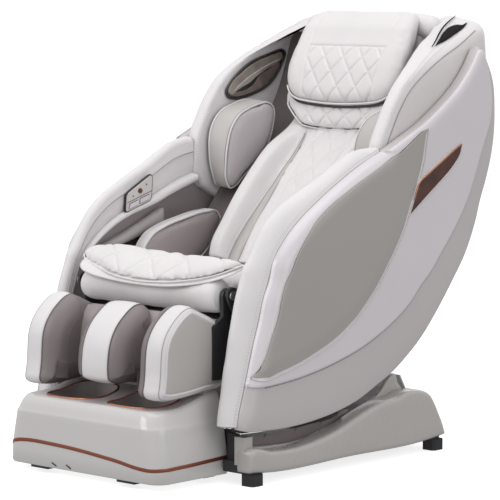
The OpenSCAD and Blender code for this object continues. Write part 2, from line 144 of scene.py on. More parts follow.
def flat_mesh(outline, rings, step):
    """triangles that fill an outline, with points on rings at the given
    distances from its edge; returns points, triangles and distances"""
    O = ccw(np.asarray(outline, float))
    pts = [O]
    gap = np.mean(np.linalg.norm(np.roll(O, -1, 0) - O, axis=1))
    last = 0
    for r in sorted(x for x in rings if x > 0):
        c = offset(O, r)
        ok = inside(c, O)
        c = c[ok]
        if len(c):
            c = c[seg_dist(c, O) > 0.96 * r]
        if len(c) > 2:
            keep, cell = [], set()
            g = gap * 0.45
            for q in c:
                key = (int(q[0] // g), int(q[1] // g))
                if key in cell:
                    continue
                cell.add(key)
                keep.append(q)
            pts.append(np.array(keep))
        last = r
    lo, hi = O.min(0), O.max(0)
    gy = np.arange(lo[1], hi[1] + step, step * 0.866)
    grid = []
    for i, y in enumerate(gy):
        gx = np.arange(lo[0] + (step / 2 if i % 2 else 0), hi[0] + step, step)
        grid.append(np.stack([gx, np.full(len(gx), y)], 1))
    grid = np.vstack(grid)
    grid = grid[inside(grid, O)]
    if len(grid):
        dd = seg_dist(grid, O)
        grid = grid[dd > last + 0.55 * min(step, gap * 1.6)]
        pts.append(grid)
    P = np.vstack(pts)
    nb = len(O)
    res = geometry.delaunay_2d_cdt([Vector(p) for p in P], [(i, (i + 1) % nb) for i in range(nb)],
                                   [], 1, 1e-6)
    V = np.array([(v[0], v[1]) for v in res[0]])
    F = [tuple(f) for f in res[2]]
    used = sorted({i for f in F for i in f})
    remap = {u: i for i, u in enumerate(used)}
    V = V[used]
    F = [tuple(remap[i] for i in f) for f in F]
    D = seg_dist(V, O)
    D[D < 1e-4] = 0
    return V, F, D


def add(name, verts, faces, mat, body=None, replaces=(), slot=None, sharp=50, mm=True, recalc=True):
    me = bpy.data.meshes.new(name)
    v = M(verts) if mm else np.asarray(verts, float)
    me.from_pydata([tuple(p) for p in v], [], [tuple(int(i) for i in f) for f in faces])
    me.validate()
    if recalc:
        import bmesh
        bm = bmesh.new()
        bm.from_mesh(me)
        bmesh.ops.recalc_face_normals(bm, faces=bm.faces)
        bm.to_mesh(me)
        bm.free()
    me.shade_smooth()
    if sharp:
        me.set_sharp_from_angle(angle=math.radians(sharp))
    me.materials.append(mat)
    o = bpy.data.objects.new(name, me)
    bpy.context.scene.collection.objects.link(o)
    if body:
        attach(o, body)
    if replaces:
        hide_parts(*replaces)
    return o


def join(parts):
    V, F, n = [], [], 0
    for v, f in parts:
        V.append(np.asarray(v, float))
        F += [tuple(i + n for i in q) for q in f]
        n += len(v)
    return np.vstack(V), F


def plate(outline, top, bottom, rings, step):
    """closed skin over an outline: top(V, D) and bottom(V, D) give the 3-D
    points of the two faces"""
    V, F, D = flat_mesh(outline, rings, step)
    T, B = top(V, D), bottom(V, D)
    n = len(V)
    faces = list(F) + [tuple(i + n for i in f[::-1]) for f in F]
    cnt = {}
    for f in F:
        for a, b in zip(f, f[1:] + f[:1]):
            cnt[(a, b)] = 1
    for (a, b) in list(cnt):
        if (b, a) not in cnt:
            faces.append((b, a, a + n, b + n))
    return np.vstack([T, B]), faces


def fillet(D, r):
    d = np.minimum(D, r)
    return np.sqrt(np.maximum(0, r * r - (r - d)**2))


def rings_for(r, extra=()):
    return [r * (1 - math.cos(math.radians(a))) for a in (20, 38, 55, 72, 90)] + list(extra)


def slab(outline, x0, x1, r=8, r0=None, step=22, dome=0, dome_w=60, extra=(), fn=None, sx=1):
    """a board in the side plane between x0 and x1, its edges rounded by r"""
    r0 = r if r0 is None else r0

    def top(V, D):
        x = x1 - r + fillet(D, r) + dome * (1 - np.exp(-D / dome_w))
        if fn is not None:
            x = x + fn(V, D)
        return np.stack([sx * x, V[:, 0], V[:, 1]], 1)

    def bottom(V, D):
        return np.stack([sx * (x0 + r0 - fillet(D, r0)), V[:, 0], V[:, 1]], 1)
    return plate(outline, top, bottom, rings_for(r, extra), step)


def loft(R, closed=True, cap0=False, cap1=False):
    """quads over rows of points R[s][k]; closed joins each row's ends"""
    R = np.asarray(R, float)
    S, K = R.shape[:2]
    F = []
    for s in range(S - 1):
        for k in range(K if closed else K - 1):
            k2 = (k + 1) % K
            F.append((s * K + k, s * K + k2, (s + 1) * K + k2, (s + 1) * K + k))
    V = R.reshape(-1, 3)
    if cap0:
        F.append(tuple(range(K))[::-1])
    if cap1:
        F.append(tuple((S - 1) * K + k for k in range(K)))
    return V, F


def frames(P, closed=False):
    """tangents and steady normals along a 3-D line"""
    P = np.asarray(P, float)
    T = unit((np.roll(P, -1, 0) - np.roll(P, 1, 0)) if closed else np.gradient(P, axis=0))
    a = np.array([0, 0, 1.0]) if abs(T[0][2]) < 0.9 else np.array([1.0, 0, 0])
    n = unit(np.cross(T[0], a))
    N = [n]
    for i in range(1, len(P)):
        v = np.cross(T[i - 1], T[i])
        s = np.linalg.norm(v)
        if s > 1e-9:
            ang = math.atan2(s, float(T[i - 1] @ T[i]))
            k = v / s
            n = n * math.cos(ang) + np.cross(k, n) * math.sin(ang) + k * (k @ n) * (1 - math.cos(ang))
        n = unit(n - T[i] * (T[i] @ n))
        N.append(n)
    N = np.array(N)
    return T, N, np.cross(T, N)


def tube(P, r, n=8, closed=False, flat=1.0):
    P = np.asarray(P, float)
    T, N, B = frames(P, closed)
    rr = np.full(len(P), r) if np.isscalar(r) else np.asarray(r, float)
    rows = [P[i] + rr[i] * np.stack([math.cos(a) * N[i] + math.sin(a) * B[i] * flat
                                     for a in np.linspace(0, 2 * math.pi, n, endpoint=False)])
            for i in range(len(P))]
    if closed:
        rows.append(rows[0])
    else:
        rows = ([P[0] - T[0] * rr[0] * .5 + (rows[0] - P[0]) * .6] + rows
                + [P[-1] + T[-1] * rr[-1] * .5 + (rows[-1] - P[-1]) * .6])
    return loft(rows, True, not closed, not closed)


def stitches(P, pitch=9.0, length=6.0, r=0.9):
    """a row of sewn stitches lying on a 3-D line"""
    Q = resample(P, step=pitch)
    T = unit(np.gradient(Q, axis=0))
    parts = []
    for q, t in zip(Q, T):
        line = np.array([q - t * length / 2, q - t * length / 4, q + t * length / 4, q + t * length / 2])
        parts.append(tube(line, [r * .35, r, r, r * .35], 5))
    return join(parts)


def mirror(vf, sx):
    v, f = vf
    v = np.asarray(v, float) * np.array([sx, 1, 1])
    return v, f


def both(name, vf, mat, body, replaces=None, slot=None, **k):
    """the same piece on the left and on the right"""
    out = []
    for side, sx in (("left", 1), ("right", -1)):
        v, f = mirror(vf, sx)
        r = () if not replaces else tuple(x.replace("SIDE", side) for x in replaces)
        out.append(add(f"{name}_{side}", v, f, mat, body, r, slot, **k))
    return out


# ---------------------------------------------------------------- materials
def mat(name, color, rough=0.5, metallic=0.0, coat=0.0, coat_rough=0.1, sheen=0.0, spec=0.5,
        grain=0.0, grain_scale=900.0, mottle=0.03, mottle_scale=6.0, rough_var=0.05, kind="grain",
        color2=None, fold=0.0):
    m = bpy.data.materials.new(name)
    m.use_nodes = True
    nt = m.node_tree
    N, L = nt.nodes, nt.links
    b = N["Principled BSDF"]
    b.inputs["Roughness"].default_value = rough
    b.inputs["Metallic"].default_value = metallic
    b.inputs["Coat Weight"].default_value = coat
    b.inputs["Coat Roughness"].default_value = coat_rough
    b.inputs["Sheen Weight"].default_value = sheen
    b.inputs["Specular IOR Level"].default_value = spec
    tc = N.new("ShaderNodeTexCoord")
    no = N.new("ShaderNodeTexNoise")
    no.inputs["Scale"].default_value = mottle_scale
    no.inputs["Detail"].default_value = 5
    L.new(tc.outputs["Object"], no.inputs["Vector"])
    ramp = N.new("ShaderNodeValToRGB")
    c = np.array(color, float)
    c2 = np.array(color2, float) if color2 is not None else c
    lo, hi = np.clip(c * (1 - mottle), 0, 1), np.clip(c2 * (1 + mottle), 0, 1)
    ramp.color_ramp.elements[0].color = (*lo, 1)
    ramp.color_ramp.elements[1].color = (*hi, 1)
    ramp.color_ramp.elements[0].position = 0.3
    ramp.color_ramp.elements[1].position = 0.7
    L.new(no.outputs["Fac"], ramp.inputs["Fac"])
    L.new(ramp.outputs["Color"], b.inputs["Base Color"])
    if rough_var:
        n2 = N.new("ShaderNodeTexNoise")
        n2.inputs["Scale"].default_value = mottle_scale * 5
        n2.inputs["Detail"].default_value = 3
        L.new(tc.outputs["Object"], n2.inputs["Vector"])
        mr = N.new("ShaderNodeMapRange")
        mr.inputs["To Min"].default_value = max(0.02, rough - rough_var)
        mr.inputs["To Max"].default_value = min(1, rough + rough_var)
        L.new(n2.outputs["Fac"], mr.inputs["Value"])
        L.new(mr.outputs["Result"], b.inputs["Roughness"])
    if grain > 0:
        if kind == "leather":
            t = N.new("ShaderNodeTexVoronoi")
            t.feature = "DISTANCE_TO_EDGE"
            t.inputs["Scale"].default_value = grain_scale
            L.new(tc.outputs["Object"], t.inputs["Vector"])
            t2 = N.new("ShaderNodeTexNoise")
            t2.inputs["Scale"].default_value = grain_scale * .12
            t2.inputs["Detail"].default_value = 6
            L.new(tc.outputs["Object"], t2.inputs["Vector"])
            mx = N.new("ShaderNodeMath")
            mx.operation = "MULTIPLY_ADD"
            mx.inputs[1].default_value = 1.5
            L.new(t.outputs["Distance"], mx.inputs[0])
            L.new(t2.outputs["Fac"], mx.inputs[2])
            src = mx.outputs[0]
        elif kind == "brushed":
            mp = N.new("ShaderNodeMapping")
            mp.inputs["Scale"].default_value = (1, 1, 12)
            L.new(tc.outputs["Object"], mp.inputs["Vector"])
            t = N.new("ShaderNodeTexNoise")
            t.inputs["Scale"].default_value = grain_scale
            L.new(mp.outputs["Vector"], t.inputs["Vector"])
            src = t.outputs["Fac"]
        else:
            t = N.new("ShaderNodeTexNoise")
            t.inputs["Scale"].default_value = grain_scale
            t.inputs["Detail"].default_value = 4
            L.new(tc.outputs["Object"], t.inputs["Vector"])
            src = t.outputs["Fac"]
        bp = N.new("ShaderNodeBump")
        bp.inputs["Strength"].default_value = grain
        bp.inputs["Distance"].default_value = 0.0006
        L.new(src, bp.inputs["Height"])
        last = bp
        if fold > 0:
            t3 = N.new("ShaderNodeTexNoise")
            t3.inputs["Scale"].default_value = 16
            t3.inputs["Detail"].default_value = 3
            t3.inputs["Distortion"].default_value = 0.6
            L.new(tc.outputs["Object"], t3.inputs["Vector"])
            b2 = N.new("ShaderNodeBump")
            b2.inputs["Strength"].default_value = fold
            b2.inputs["Distance"].default_value = 0.01
            L.new(t3.outputs["Fac"], b2.inputs["Height"])
            L.new(bp.outputs["Normal"], b2.inputs["Normal"])
            last = b2
        L.new(last.outputs["Normal"], b.inputs["Normal"])
    return m


WHITE = mat("leather_white", (0.74, 0.715, 0.725), 0.46, coat=0.06, coat_rough=0.3, grain=0.3, kind="leather",
            grain_scale=620, mottle=0.015, fold=0.05)
SOFT = mat("leather_soft", (0.74, 0.715, 0.72), 0.5, grain=0.35, kind="leather", grain_scale=620, mottle=0.02, fold=0.14)
GREY = mat("leather_greige", (0.50, 0.475, 0.46), 0.44, coat=0.08, coat_rough=0.3, grain=0.3, kind="leather",
           grain_scale=620, mottle=0.025, fold=0.05)
TAUPE = mat("leather_taupe", (0.325, 0.283, 0.287), 0.42, coat=0.1, coat_rough=0.3, grain=0.3, kind="leather",
            grain_scale=620, mottle=0.035, fold=0.06)
DARKT = mat("leather_dark", (0.16, 0.135, 0.135), 0.5, grain=0.3, kind="leather", grain_scale=620, mottle=0.05)
# seam thread colour; also used for the painted shadow line under the side band's crease
SEAM_AND_SHADOW_LINE = mat("seam_thread_and_shadow_line", (0.36, 0.34, 0.345), 0.8, grain=0.4, grain_scale=1500, mottle=0.06)
THREAD = mat("stitch_thread", (0.60, 0.575, 0.58), 0.7, grain=0.4, grain_scale=1500, mottle=0.05)
PEARL = mat("pearl_lacquer", (0.66, 0.62, 0.65), 0.30, coat=0.5, coat_rough=0.12, grain=0.03, grain_scale=2500,
            mottle=0.012, mottle_scale=3, color2=(0.68, 0.64, 0.675))
PEARL2 = mat("pearl_lacquer_deep", (0.53, 0.49, 0.495), 0.34, coat=0.4, coat_rough=0.16, grain=0.03, grain_scale=2500,
             mottle=0.015, mottle_scale=3)
PANEL = mat("greige_lacquer", (0.375, 0.355, 0.335), 0.36, coat=0.35, coat_rough=0.2, grain=0.03, grain_scale=2500,
            mottle=0.015, mottle_scale=3)
LILACP = mat("lilac_leather_panel", (0.68, 0.645, 0.64), 0.42, coat=0.12, coat_rough=0.28, grain=0.3, kind="leather",
             grain_scale=620, mottle=0.03, fold=0.05)
# silver lacquer colour; also used for the painted highlight lines on the leaf panel and the copper slit
SILVER_AND_HIGHLIGHT = mat("silver_lacquer_and_highlight", (0.60, 0.58, 0.575), 0.24, coat=0.6, coat_rough=0.08, grain=0.03, grain_scale=2500,
             mottle=0.012, mottle_scale=3)
BASEM = mat("greige_pearl_base", (0.45, 0.425, 0.41), 0.28, coat=0.5, coat_rough=0.12, grain=0.03, grain_scale=2500,
            mottle=0.012, mottle_scale=3)
COPPERM = mat("copper_line", (0.30, 0.10, 0.06), 0.3, metallic=0.7, grain=0.06, grain_scale=900, mottle=0.05, kind="brushed")
COPPER = mat("copper_trim", (0.60, 0.27, 0.16), 0.25, metallic=0.85, grain=0.08, grain_scale=900, mottle=0.05,
             kind="brushed")
COPPERD = mat("copper_deep", (0.055, 0.016, 0.010), 0.34, metallic=0.25, coat=0.25, grain=0.05, mottle=0.2,
              mottle_scale=14, color2=(0.11, 0.03, 0.018))
BLACK = mat("moulded_black", (0.02, 0.018, 0.02), 0.5, grain=0.4, grain_scale=1800, mottle=0.1)
GLOSS = mat("gloss_black", (0.025, 0.02, 0.02), 0.14, coat=0.5, coat_rough=0.05, mottle=0.1, grain=0.02)
SHADE = mat("inner_shadow_lining", (0.055, 0.042, 0.045), 0.75, grain=0.3, mottle=0.1)
STEEL = mat("ground_steel", (0.55, 0.55, 0.57), 0.28, metallic=1.0, grain=0.12, grain_scale=700, kind="brushed")
PAINT = mat("black_powder_coat", (0.03, 0.03, 0.033), 0.5, grain=0.5, grain_scale=1400, mottle=0.08)
RUBBER = mat("matt_rubber", (0.022, 0.022, 0.024), 0.75, grain=0.5, grain_scale=900, mottle=0.08)
ROLLER = mat("roller_rubber", (0.07, 0.055, 0.05), 0.45, grain=0.3, grain_scale=600, mottle=0.1)

node_mats = dict(
    base_frame=PAINT, base_cover_left=SILVER_AND_HIGHLIGHT, base_cover_right=SILVER_AND_HIGHLIGHT, base_front_cover=PEARL2,
    base_rear_cover=PEARL2, base_feet=RUBBER, main_pivot_pins=STEEL, tilt_actuator=BLACK, tilt_rod=STEEL,
    power_inlet=BLACK, power_switch=BLACK, transport_wheels=RUBBER, seat_frame=PAINT, back_pivot_pins=STEEL,
    legrest_pivot_pins=STEEL, side_shell_left=PEARL2, side_shell_right=PEARL2, side_panels=PANEL,
    accent_strips=COPPERD, edge_trim_left=WHITE, edge_trim_right=WHITE, arm_left=WHITE, arm_right=WHITE,
    forearm_pads=TAUPE, control_panel=SILVER_AND_HIGHLIGHT, key_front=SILVER_AND_HIGHLIGHT, key_rear=SILVER_AND_HIGHLIGHT, select_button=BLACK,
    seat_pad=SOFT, seat_front_roll=SOFT, seat_flap=SOFT, thigh_pads=TAUPE, lower_rear_cover=PEARL2,
    recline_actuator=BLACK, recline_rod=STEEL, legrest_actuator=BLACK, legrest_rod=STEEL, back_frame=PAINT,
    back_pad=SOFT, back_cover=PEARL2, top_bolster=WHITE, head_pillow=SOFT, shoulder_wing_left=WHITE,
    shoulder_wing_right=WHITE, shoulder_airbags=TAUPE, speaker_windows=GLOSS, vent_grilles=BLACK,
    guide_rails=STEEL, massage_carriage=PAINT, massage_arms=STEEL, rollers_upper=ROLLER, rollers_lower=ROLLER,
    calf_frame=PAINT, calf_housing=PEARL2, calf_side_pads=WHITE, calf_inner_pads=TAUPE, foot_housing=SILVER_AND_HIGHLIGHT,
    foot_trim=COPPER, foot_rollers=ROLLER, foot_glides=RUBBER)
for name, o in NODES.items():
    o.data.materials.clear()
    o.data.materials.append(node_mats[name])
    o.data.shade_smooth()
    o.data.set_sharp_from_angle(angle=math.radians(30))

# ------------------------------------------------------------ side outlines
CROWN = [(-72, 156), (-70, 175), (-58, 236), (-47, 299), (-40, 325), (-30, 375), (-17, 426), (-4, 476), (13, 521),
         (24, 550), (39, 570), (69, 616), (96, 653), (126, 680), (165, 706), (203, 724), (242, 742), (321, 777),
         (381, 808), (425, 828), (460, 836), (508, 840)]
CROWNX = [326] * 15 + [327, 328, 330, 332, 334, 336, 338]
SEAMB = [(-50, 149), (-47, 174), (-32, 224), (-17, 273), (-2, 323), (10, 361), (32, 423), (47, 473), (70, 523),
         (85, 568), (116, 609), (154, 645), (193, 674), (271, 721), (350, 763), (431, 801), (504, 829)]
INNER = [(-40, 164), (-22, 232), (-5, 302), (13, 376), (32, 450), (54, 508), (80, 543), (110, 567), (140, 587),
         (185, 612), (240, 634), (300, 650), (350, 664), (400, 682), (450, 698), (506, 714)]
SHELL = [(-50, 149), (-36, 144), (-15, 141), (10, 140), (77, 137), (154, 138), (232, 144), (312, 156), (393, 176),
         (474, 209), (538, 237), (601, 276), (635, 300), (673, 332), (703, 362), (750, 413), (793, 464), (838, 520),
         (893, 623), (912, 677), (936, 731), (956, 786), (969, 841), (974, 924), (964, 1007), (936, 1063), (905, 1102)]
RIM = [(504, 829), (545, 847), (590, 867), (660, 898), (717, 931), (765, 961), (805, 990), (840, 1022), (870, 1056),
       (890, 1084), (905, 1102)]
CREASE = [(-27, 257), (-8, 254), (22, 254), (76, 257), (151, 264), (229, 276), (309, 293), (389, 315), (471, 347),
          (554, 390), (596, 419), (638, 459), (680, 493), (723, 539), (766, 585), (809, 637), (852, 703), (874, 749),
          (895, 797), (917, 843), (936, 884), (946, 930), (944, 980), (930, 1040), (908, 1092)]
LEAF_R = [(-11, 280), (4, 276), (69, 285), (146, 302), (224, 327), (263, 341), (303, 359), (343, 382), (371, 400),
          (403, 427), (444, 465), (476, 501), (505, 538), (546, 593), (567, 626), (583, 661), (600, 697), (616, 731),
          (633, 767), (645, 802), (653, 843), (661, 884)]
LEAF_L = [(632, 876), (549, 829), (467, 790), (385, 755), (325, 727), (266, 697), (215, 664), (169, 621), (138, 585),
          (115, 548), (92, 511), (77, 474), (62, 424), (39, 374), (24, 337), (5, 301)]
LEAF_BAND = [(10, 296), (66, 321), (143, 338), (221, 362), (292, 397), (340, 424), (388, 460), (429, 496), (461, 533),
             (494, 571), (523, 622), (543, 674), (563, 740), (584, 806), (617, 871)]
SLIT_LO = [(587, 660), (629, 687), (672, 715), (714, 742), (750, 766), (779, 790), (798, 811), (807, 838)]
SLIT_UP = [(807, 838), (771, 822), (735, 803), (671, 769), (620, 737), (604, 697), (587, 660)]
WING_FRONT = [(507, 742), (508, 780), (512, 820), (525, 860), (547, 900), (572, 942), (593, 970), (619, 1000),
              (652, 1027), (692, 1053), (738, 1079), (796, 1107), (850, 1130), (905, 1156), (945, 1176)]
WING_REAR = [(966, 1183), (981, 1172), (986, 1150), (987, 1110), (990, 1050), (996, 960), (1000, 870), (993, 790),
             (975, 725), (950, 668), (922, 622), (905, 640), (872, 715), (800, 700), (700, 652), (640, 655), (545, 697)]


def lean(P):
    """bends the wings' upper part inward, as an arch over the head"""
    P = np.array(P, float)
    t = P[..., 2] - 0.37 * (P[..., 1] - 800)
    d = np.interp(t, [1000, 1040, 1067, 1081, 1093, 1100, 1106, 1111, 1116, 1122],
                  [0, 1, 4, 9, 20, 33, 50, 72, 92, 104])
    P[..., 0] = P[..., 0] - np.sign(P[..., 0]) * d
    return P


# -------------------------------------------------------------- side shells
seam = curve(SEAMB, step=6)
rim = curve(RIM, step=6)
# lower and rear shell: a board whose outer face rolls over at its edges
shell_o = np.vstack([curve(SHELL, corners=(0,), step=8), curve(RIM[::-1], step=8)[1:], curve(SEAMB[::-1], step=8)[1:-1]])
shell_o = ccw(resample(shell_o, step=8, closed=True))


def shell_belly(V, D):
    # the lower edge turns in, so light falls off toward the floor; the front
    # end and the upper edge slope in to the leather
    ds = seg_dist(V, curve(SEAMB, step=6), False)
    return -7 * np.exp(-np.maximum(0, D) / 26.0) - 30 * (1 - rise(ds / 34))


def rise(t):
    t = np.clip(t, 0, 1)
    return np.sqrt(np.maximum(0, 1 - (1 - t)**2.0))


sh = slab(shell_o, 364, 401, r=4, r0=2, step=26, fn=shell_belly, extra=(1, 2, 8, 14, 20, 28, 36, 48, 66))
both("side_shell_outer", sh, PEARL2, "seat", ("side_shell_SIDE",), "shell")

# pearl band round the leaf, standing proud of the lower shell
a_o = np.vstack([curve(CREASE, step=6), curve(RIM[::-1], step=6)[2:],
                 curve([(-22, 257)] + SEAMB[3:], step=6)[::-1][1:-1]])
a_o = ccw(resample(a_o, step=6, closed=True))
seam_line = curve(SEAMB, step=6)
rim_line = curve(RIM, step=6)
crease_line = curve(CREASE, step=6)


def band_top(V, D):
    ds = seg_dist(V, seam_line, False)
    dr = seg_dist(V, rim_line, False)
    dc = seg_dist(V, crease_line, False)
    x = 401 + 7 * np.clip(fillet(np.minimum(dc, 7), 7) / 7, 0, 1)
    roll = (x - 366.5) * (1 - rise(ds / 38))
    roll = np.maximum(roll, 12 * (1 - rise(dr / 22)))
    return x - roll


def band_t(V, D):
    return np.stack([band_top(V, D), V[:, 0], V[:, 1]], 1)


def band_b(V, D):
    return np.stack([np.minimum(band_top(V, D) - 3, 394), V[:, 0], V[:, 1]], 1)


both("side_shell_band", plate(a_o, band_t, band_b, [1, 2.5, 4.5, 7, 11, 16, 23, 32, 44, 60], 20), PEARL, "seat",
     ("side_shell_SIDE",), "shell")
# painted shadow: the dark line under the band's lower edge, drawn in seam colour, and the light edge beside it
cr = curve(CREASE[2:-1], step=6)
n2 = offset(cr, -2.2, closed=False)
n2x = np.where(n2[:, 1] > 900, 398.5, 400.5) - 26 * (1 - rise(seg_dist(n2, curve(SEAMB, step=6), False) / 34))
both("side_crease_shadow", tube(np.column_stack([n2x, n2]), 1.7, 6), SEAM_AND_SHADOW_LINE, "seat", slot="shell")

# ----------------------------------------------------- leaf-shaped side panel
leaf = ccw(resample(np.vstack([curve(LEAF_R, step=5), curve(LEAF_L, step=5)]), step=5, closed=True))
right_edge = curve(LEAF_R, step=5)
left_edge = curve(LEAF_L, step=5)
band_edge = curve(LEAF_BAND, step=5)


def leaf_x(V):
    # the face follows the body's roll near the leather; the strip along the
    # lower edge is a bevel that turns away
    ds = seg_dist(V, seam_line, False)
    dr = seg_dist(V, right_edge, False)
    db_ = seg_dist(V, band_edge, False)
    w = np.clip(dr / np.maximum(dr + db_, 1e-6), 0, 1)
    out = ~inside(V, np.vstack([band_edge, left_edge]))
    bev = np.where(out, 4.6 * (1 - w)**1.0, 0)
    return -(408 - 367) * (1 - rise(ds / 42)) * .9 - bev


def leaf_fn(V, D):
    return leaf_x(V)


slit = ccw(resample(np.vstack([curve(SLIT_LO, step=3), curve(SLIT_UP, corners=(5,), step=3)[1:-1]]), step=3.5, closed=True))
both("side_panel", slab(leaf, 380, 412.2, r=1.8, r0=1, step=13, fn=leaf_fn, extra=(4, 7, 11, 16, 22, 29, 37)), PANEL,
     "seat", ("side_panels",), "panel")
both("side_panel_groove", slab(offset(leaf, -2.0), 378, 409.0, r=1.2, r0=1, step=20, fn=lambda V, D: leaf_x(V) * .97),
     SHADE, "seat", slot="panel")
# painted highlight: a light line along the leaf panel's edge
le = offset(leaf, -3.6)
lx = 409.2 - 41 * (1 - rise(seg_dist(le, seam_line, False) / 42)) * .86
both("side_panel_painted_highlight", tube(np.column_stack([lx, le]), 1.7, 6, closed=True), SILVER_AND_HIGHLIGHT, "seat", slot="shell")

# -------------------------------------------------------------- copper slit
both("accent_recess", slab(slit, 404, 410.4, r=1.2, r0=1, step=8,
     fn=lambda V, D: -1.6 * np.clip(D / 14, 0, 1)), COPPERD, "seat", ("accent_strips",), "copper")
up = curve(SLIT_UP[:-1], step=4)
lowr = curve(SLIT_LO, step=4)
both("accent_edge", tube(np.column_stack([np.full(len(up), 410.4), up]),
     2.4 * np.sin(np.linspace(0.15, math.pi - 0.15, len(up)))**.5 + .5, 7), COPPER, "seat", slot="copper")
# painted highlights: light stripes beside the copper edge and along the slit's lower edge
both("accent_painted_highlight_upper", tube(np.column_stack([np.full(len(up), 409.6), offset(up, -4.0, closed=False)]),
     1.9 * np.sin(np.linspace(0.15, math.pi - 0.15, len(up)))**.5 + .4, 7), SILVER_AND_HIGHLIGHT, "seat", slot="shell")
both("accent_painted_highlight_lower", tube(np.column_stack([np.full(len(lowr), 410.0), offset(lowr, -2, closed=False)]),
     2.0 * np.sin(np.linspace(0.2, math.pi - 0.2, len(lowr)))**.5 + .4, 7), SILVER_AND_HIGHLIGHT, "seat", slot="shell")

# ------------------------------------------------ leather edge and arm covers
NS = 150
crown = curve([(a, b, c) for (a, b), c in zip(CROWN, CROWNX)], n=NS)
sb = curve(SEAMB + [(508, 831)], n=NS)
inn = curve(INNER, n=NS)


def match(A, B):
    """for each point of A the point of B at the same share of its length,
    nudged to where the two lines face each other"""
    t = np.gradient(A[:, :2], axis=0)
    out = []
    j0 = 0
    for i in range(len(A)):
        d = (B[:, :2] - A[i, :2]) @ t[i]
        j = np.argmin(np.abs(d) + 1e3 * (np.arange(len(B)) < j0))
        j0 = j
        out.append(B[j])
    return np.array(out)


def smooth(Q, k=4):
    for _ in range(k):
        Q[1:-1] = (Q[:-2] + 2 * Q[1:-1] + Q[2:]) / 4
    return Q


sbm = smooth(np.array([sb[np.argmin(np.linalg.norm(sb - c[:2], axis=1))] for c in crown]), 12)
rows = []
for i in range(NS):
    s = i / (NS - 1)
    c, xc = crown[i, :2], crown[i, 2]
    S, B = sbm[i], inn[i]
    t = unit(crown[min(i + 1, NS - 1), :2] - crown[max(i - 1, 0), :2])
    nrm = np.array([t[1], -t[0]])          # into the chair
    if nrm @ (B - c) < 0:
        nrm = -nrm
    db = unit(B - c)
    H = np.linalg.norm(B - c)
    R = 17.0
    xin = xc - R - 1                       # inner face
    lip = np.clip((s - 0.43) / 0.07, 0, 1) # the ledge is only on the arm
    lip = lip * lip * (3 - 2 * lip)
    prof = []

    def pt(x, e, f=0.0, side=0.0):
        # e: depth from the crown along its normal, f: share of the way to the inner boundary
        return np.array([x, *(c + nrm * e * (1 - f) + (B - c) * f)])
    outer = nrm @ (S - c)
    prof.append((367.5, S + nrm * 3.0))
    prof.append((368.0, S + nrm * 0.5))
    prof.append((366.8, S - nrm * 2.2))
    prof.append((364.0, S - nrm * 4.6))
    prof.append((xc + .84 * (366 - xc), S * .76 + c * .24 - nrm * 4.6))
    prof.append((xc + .58 * (366 - xc), S * .44 + c * .56 - nrm * 4.2))
    prof.append((xc + .26 * (366 - xc), c + (S - c) * .13 - nrm * 1.6))
    for a in (90, 72, 54, 36, 18, 0):
        ar = math.radians(a)
        prof.append((xc - R + R * 0 + 0 - R * (math.cos(ar) - 1) - R + 0, c + nrm * (R - R * math.sin(ar)))
                    if False else (xc - R * math.cos(ar), c + nrm * R * (1 - math.sin(ar))))
    # inner face: seam, then down to the crease and the rounded ledge
    g = [(0.30, 0), (0.335, 1.6), (0.37, 0), (0.55, 1.0)]
    for f, dx in g:
        prof.append((xc - R - dx * 1.0, c + db * max(H * f, R + 4 + 22 * (f - .30))))
    crease = 0.80
    prof.append((xc - R + 2 * lip, c + db * H * (crease - .04)))
    prof.append((xc - R + 5 * lip + 1, c + db * H * crease))
    led = (xc - R) * (1 - lip) + (min(xc - R, 303) - 4) * lip
    prof.append((led + 3 * lip, c + db * H * (crease + .03)))
    prof.append((led, c + db * H * (crease + .08)))
    prof.append((led, c + db * H * (crease + .14)))
    prof.append((led + 5, c + db * H * 0.985))
    prof.append((led + 14, c + db * H * 1.0))
    prof.append((led + 26, c + db * H * 0.99))
    prof.append((350.0, c + db * H * 0.97))
    rows.append([np.array([x, p[0], p[1]]) for x, p in prof])
rows = np.array(rows)
k = int(NS * 0.40)
for nm, a, b, rep in (("edge_trim_cover", 0, k + 1, "edge_trim_SIDE"), ("arm_cover", k, NS, "arm_SIDE")):
    both(nm, loft(rows[a:b], False), WHITE, "seat", (rep,), "leather_light", sharp=70, recalc=False)
# rounded lower end of the leather edge and rear end of the ledge
end = rows[0]
cen = end.mean(0)
capr = [end + (cen - end) * q + np.array([0, 1.5, -9]) * math.sin(q * math.pi / 2) for q in (0, .08, .25, .5, .8)]
both("edge_trim_end", loft(capr, False), WHITE, "seat", slot="leather_light", sharp=70, recalc=False)
end = rows[-1][17:]
capr = [end * [1, 1, 1] + (end.mean(0) - end) * q + np.array([0, 10, 4]) * math.sin(q * math.pi / 2)
        for q in (0, .1, .3, .6, .9)]
both("arm_ledge_end", loft(capr, False), WHITE, "seat", slot="leather_light", sharp=70, recalc=False)

# seams and stitches on the outer edge and on the inner face
outer_seam = rows[:, 2] + [1.0, 0, 0]
st1 = rows[:, 3] * .6 + rows[:, 4] * .4
both("edge_seam", tube(rows[:, 1] + [0.5, 0, 0], 1.5, 6), SEAM_AND_SHADOW_LINE, "seat", slot="leather_light")
both("edge_stitch_a", stitches(rows[:, 3] + [0, 0, 0.4], 8, 5, .8), THREAD, "seat", slot="leather_light")
both("edge_stitch_b", stitches(st1 + [0, 0, 0.4], 8, 5, .8), THREAD, "seat", slot="leather_light")
both("arm_inner_seam", tube(rows[:, 14] + [-.2, 0, 0], 1.2, 6), SEAM_AND_SHADOW_LINE, "seat", slot="leather_light")

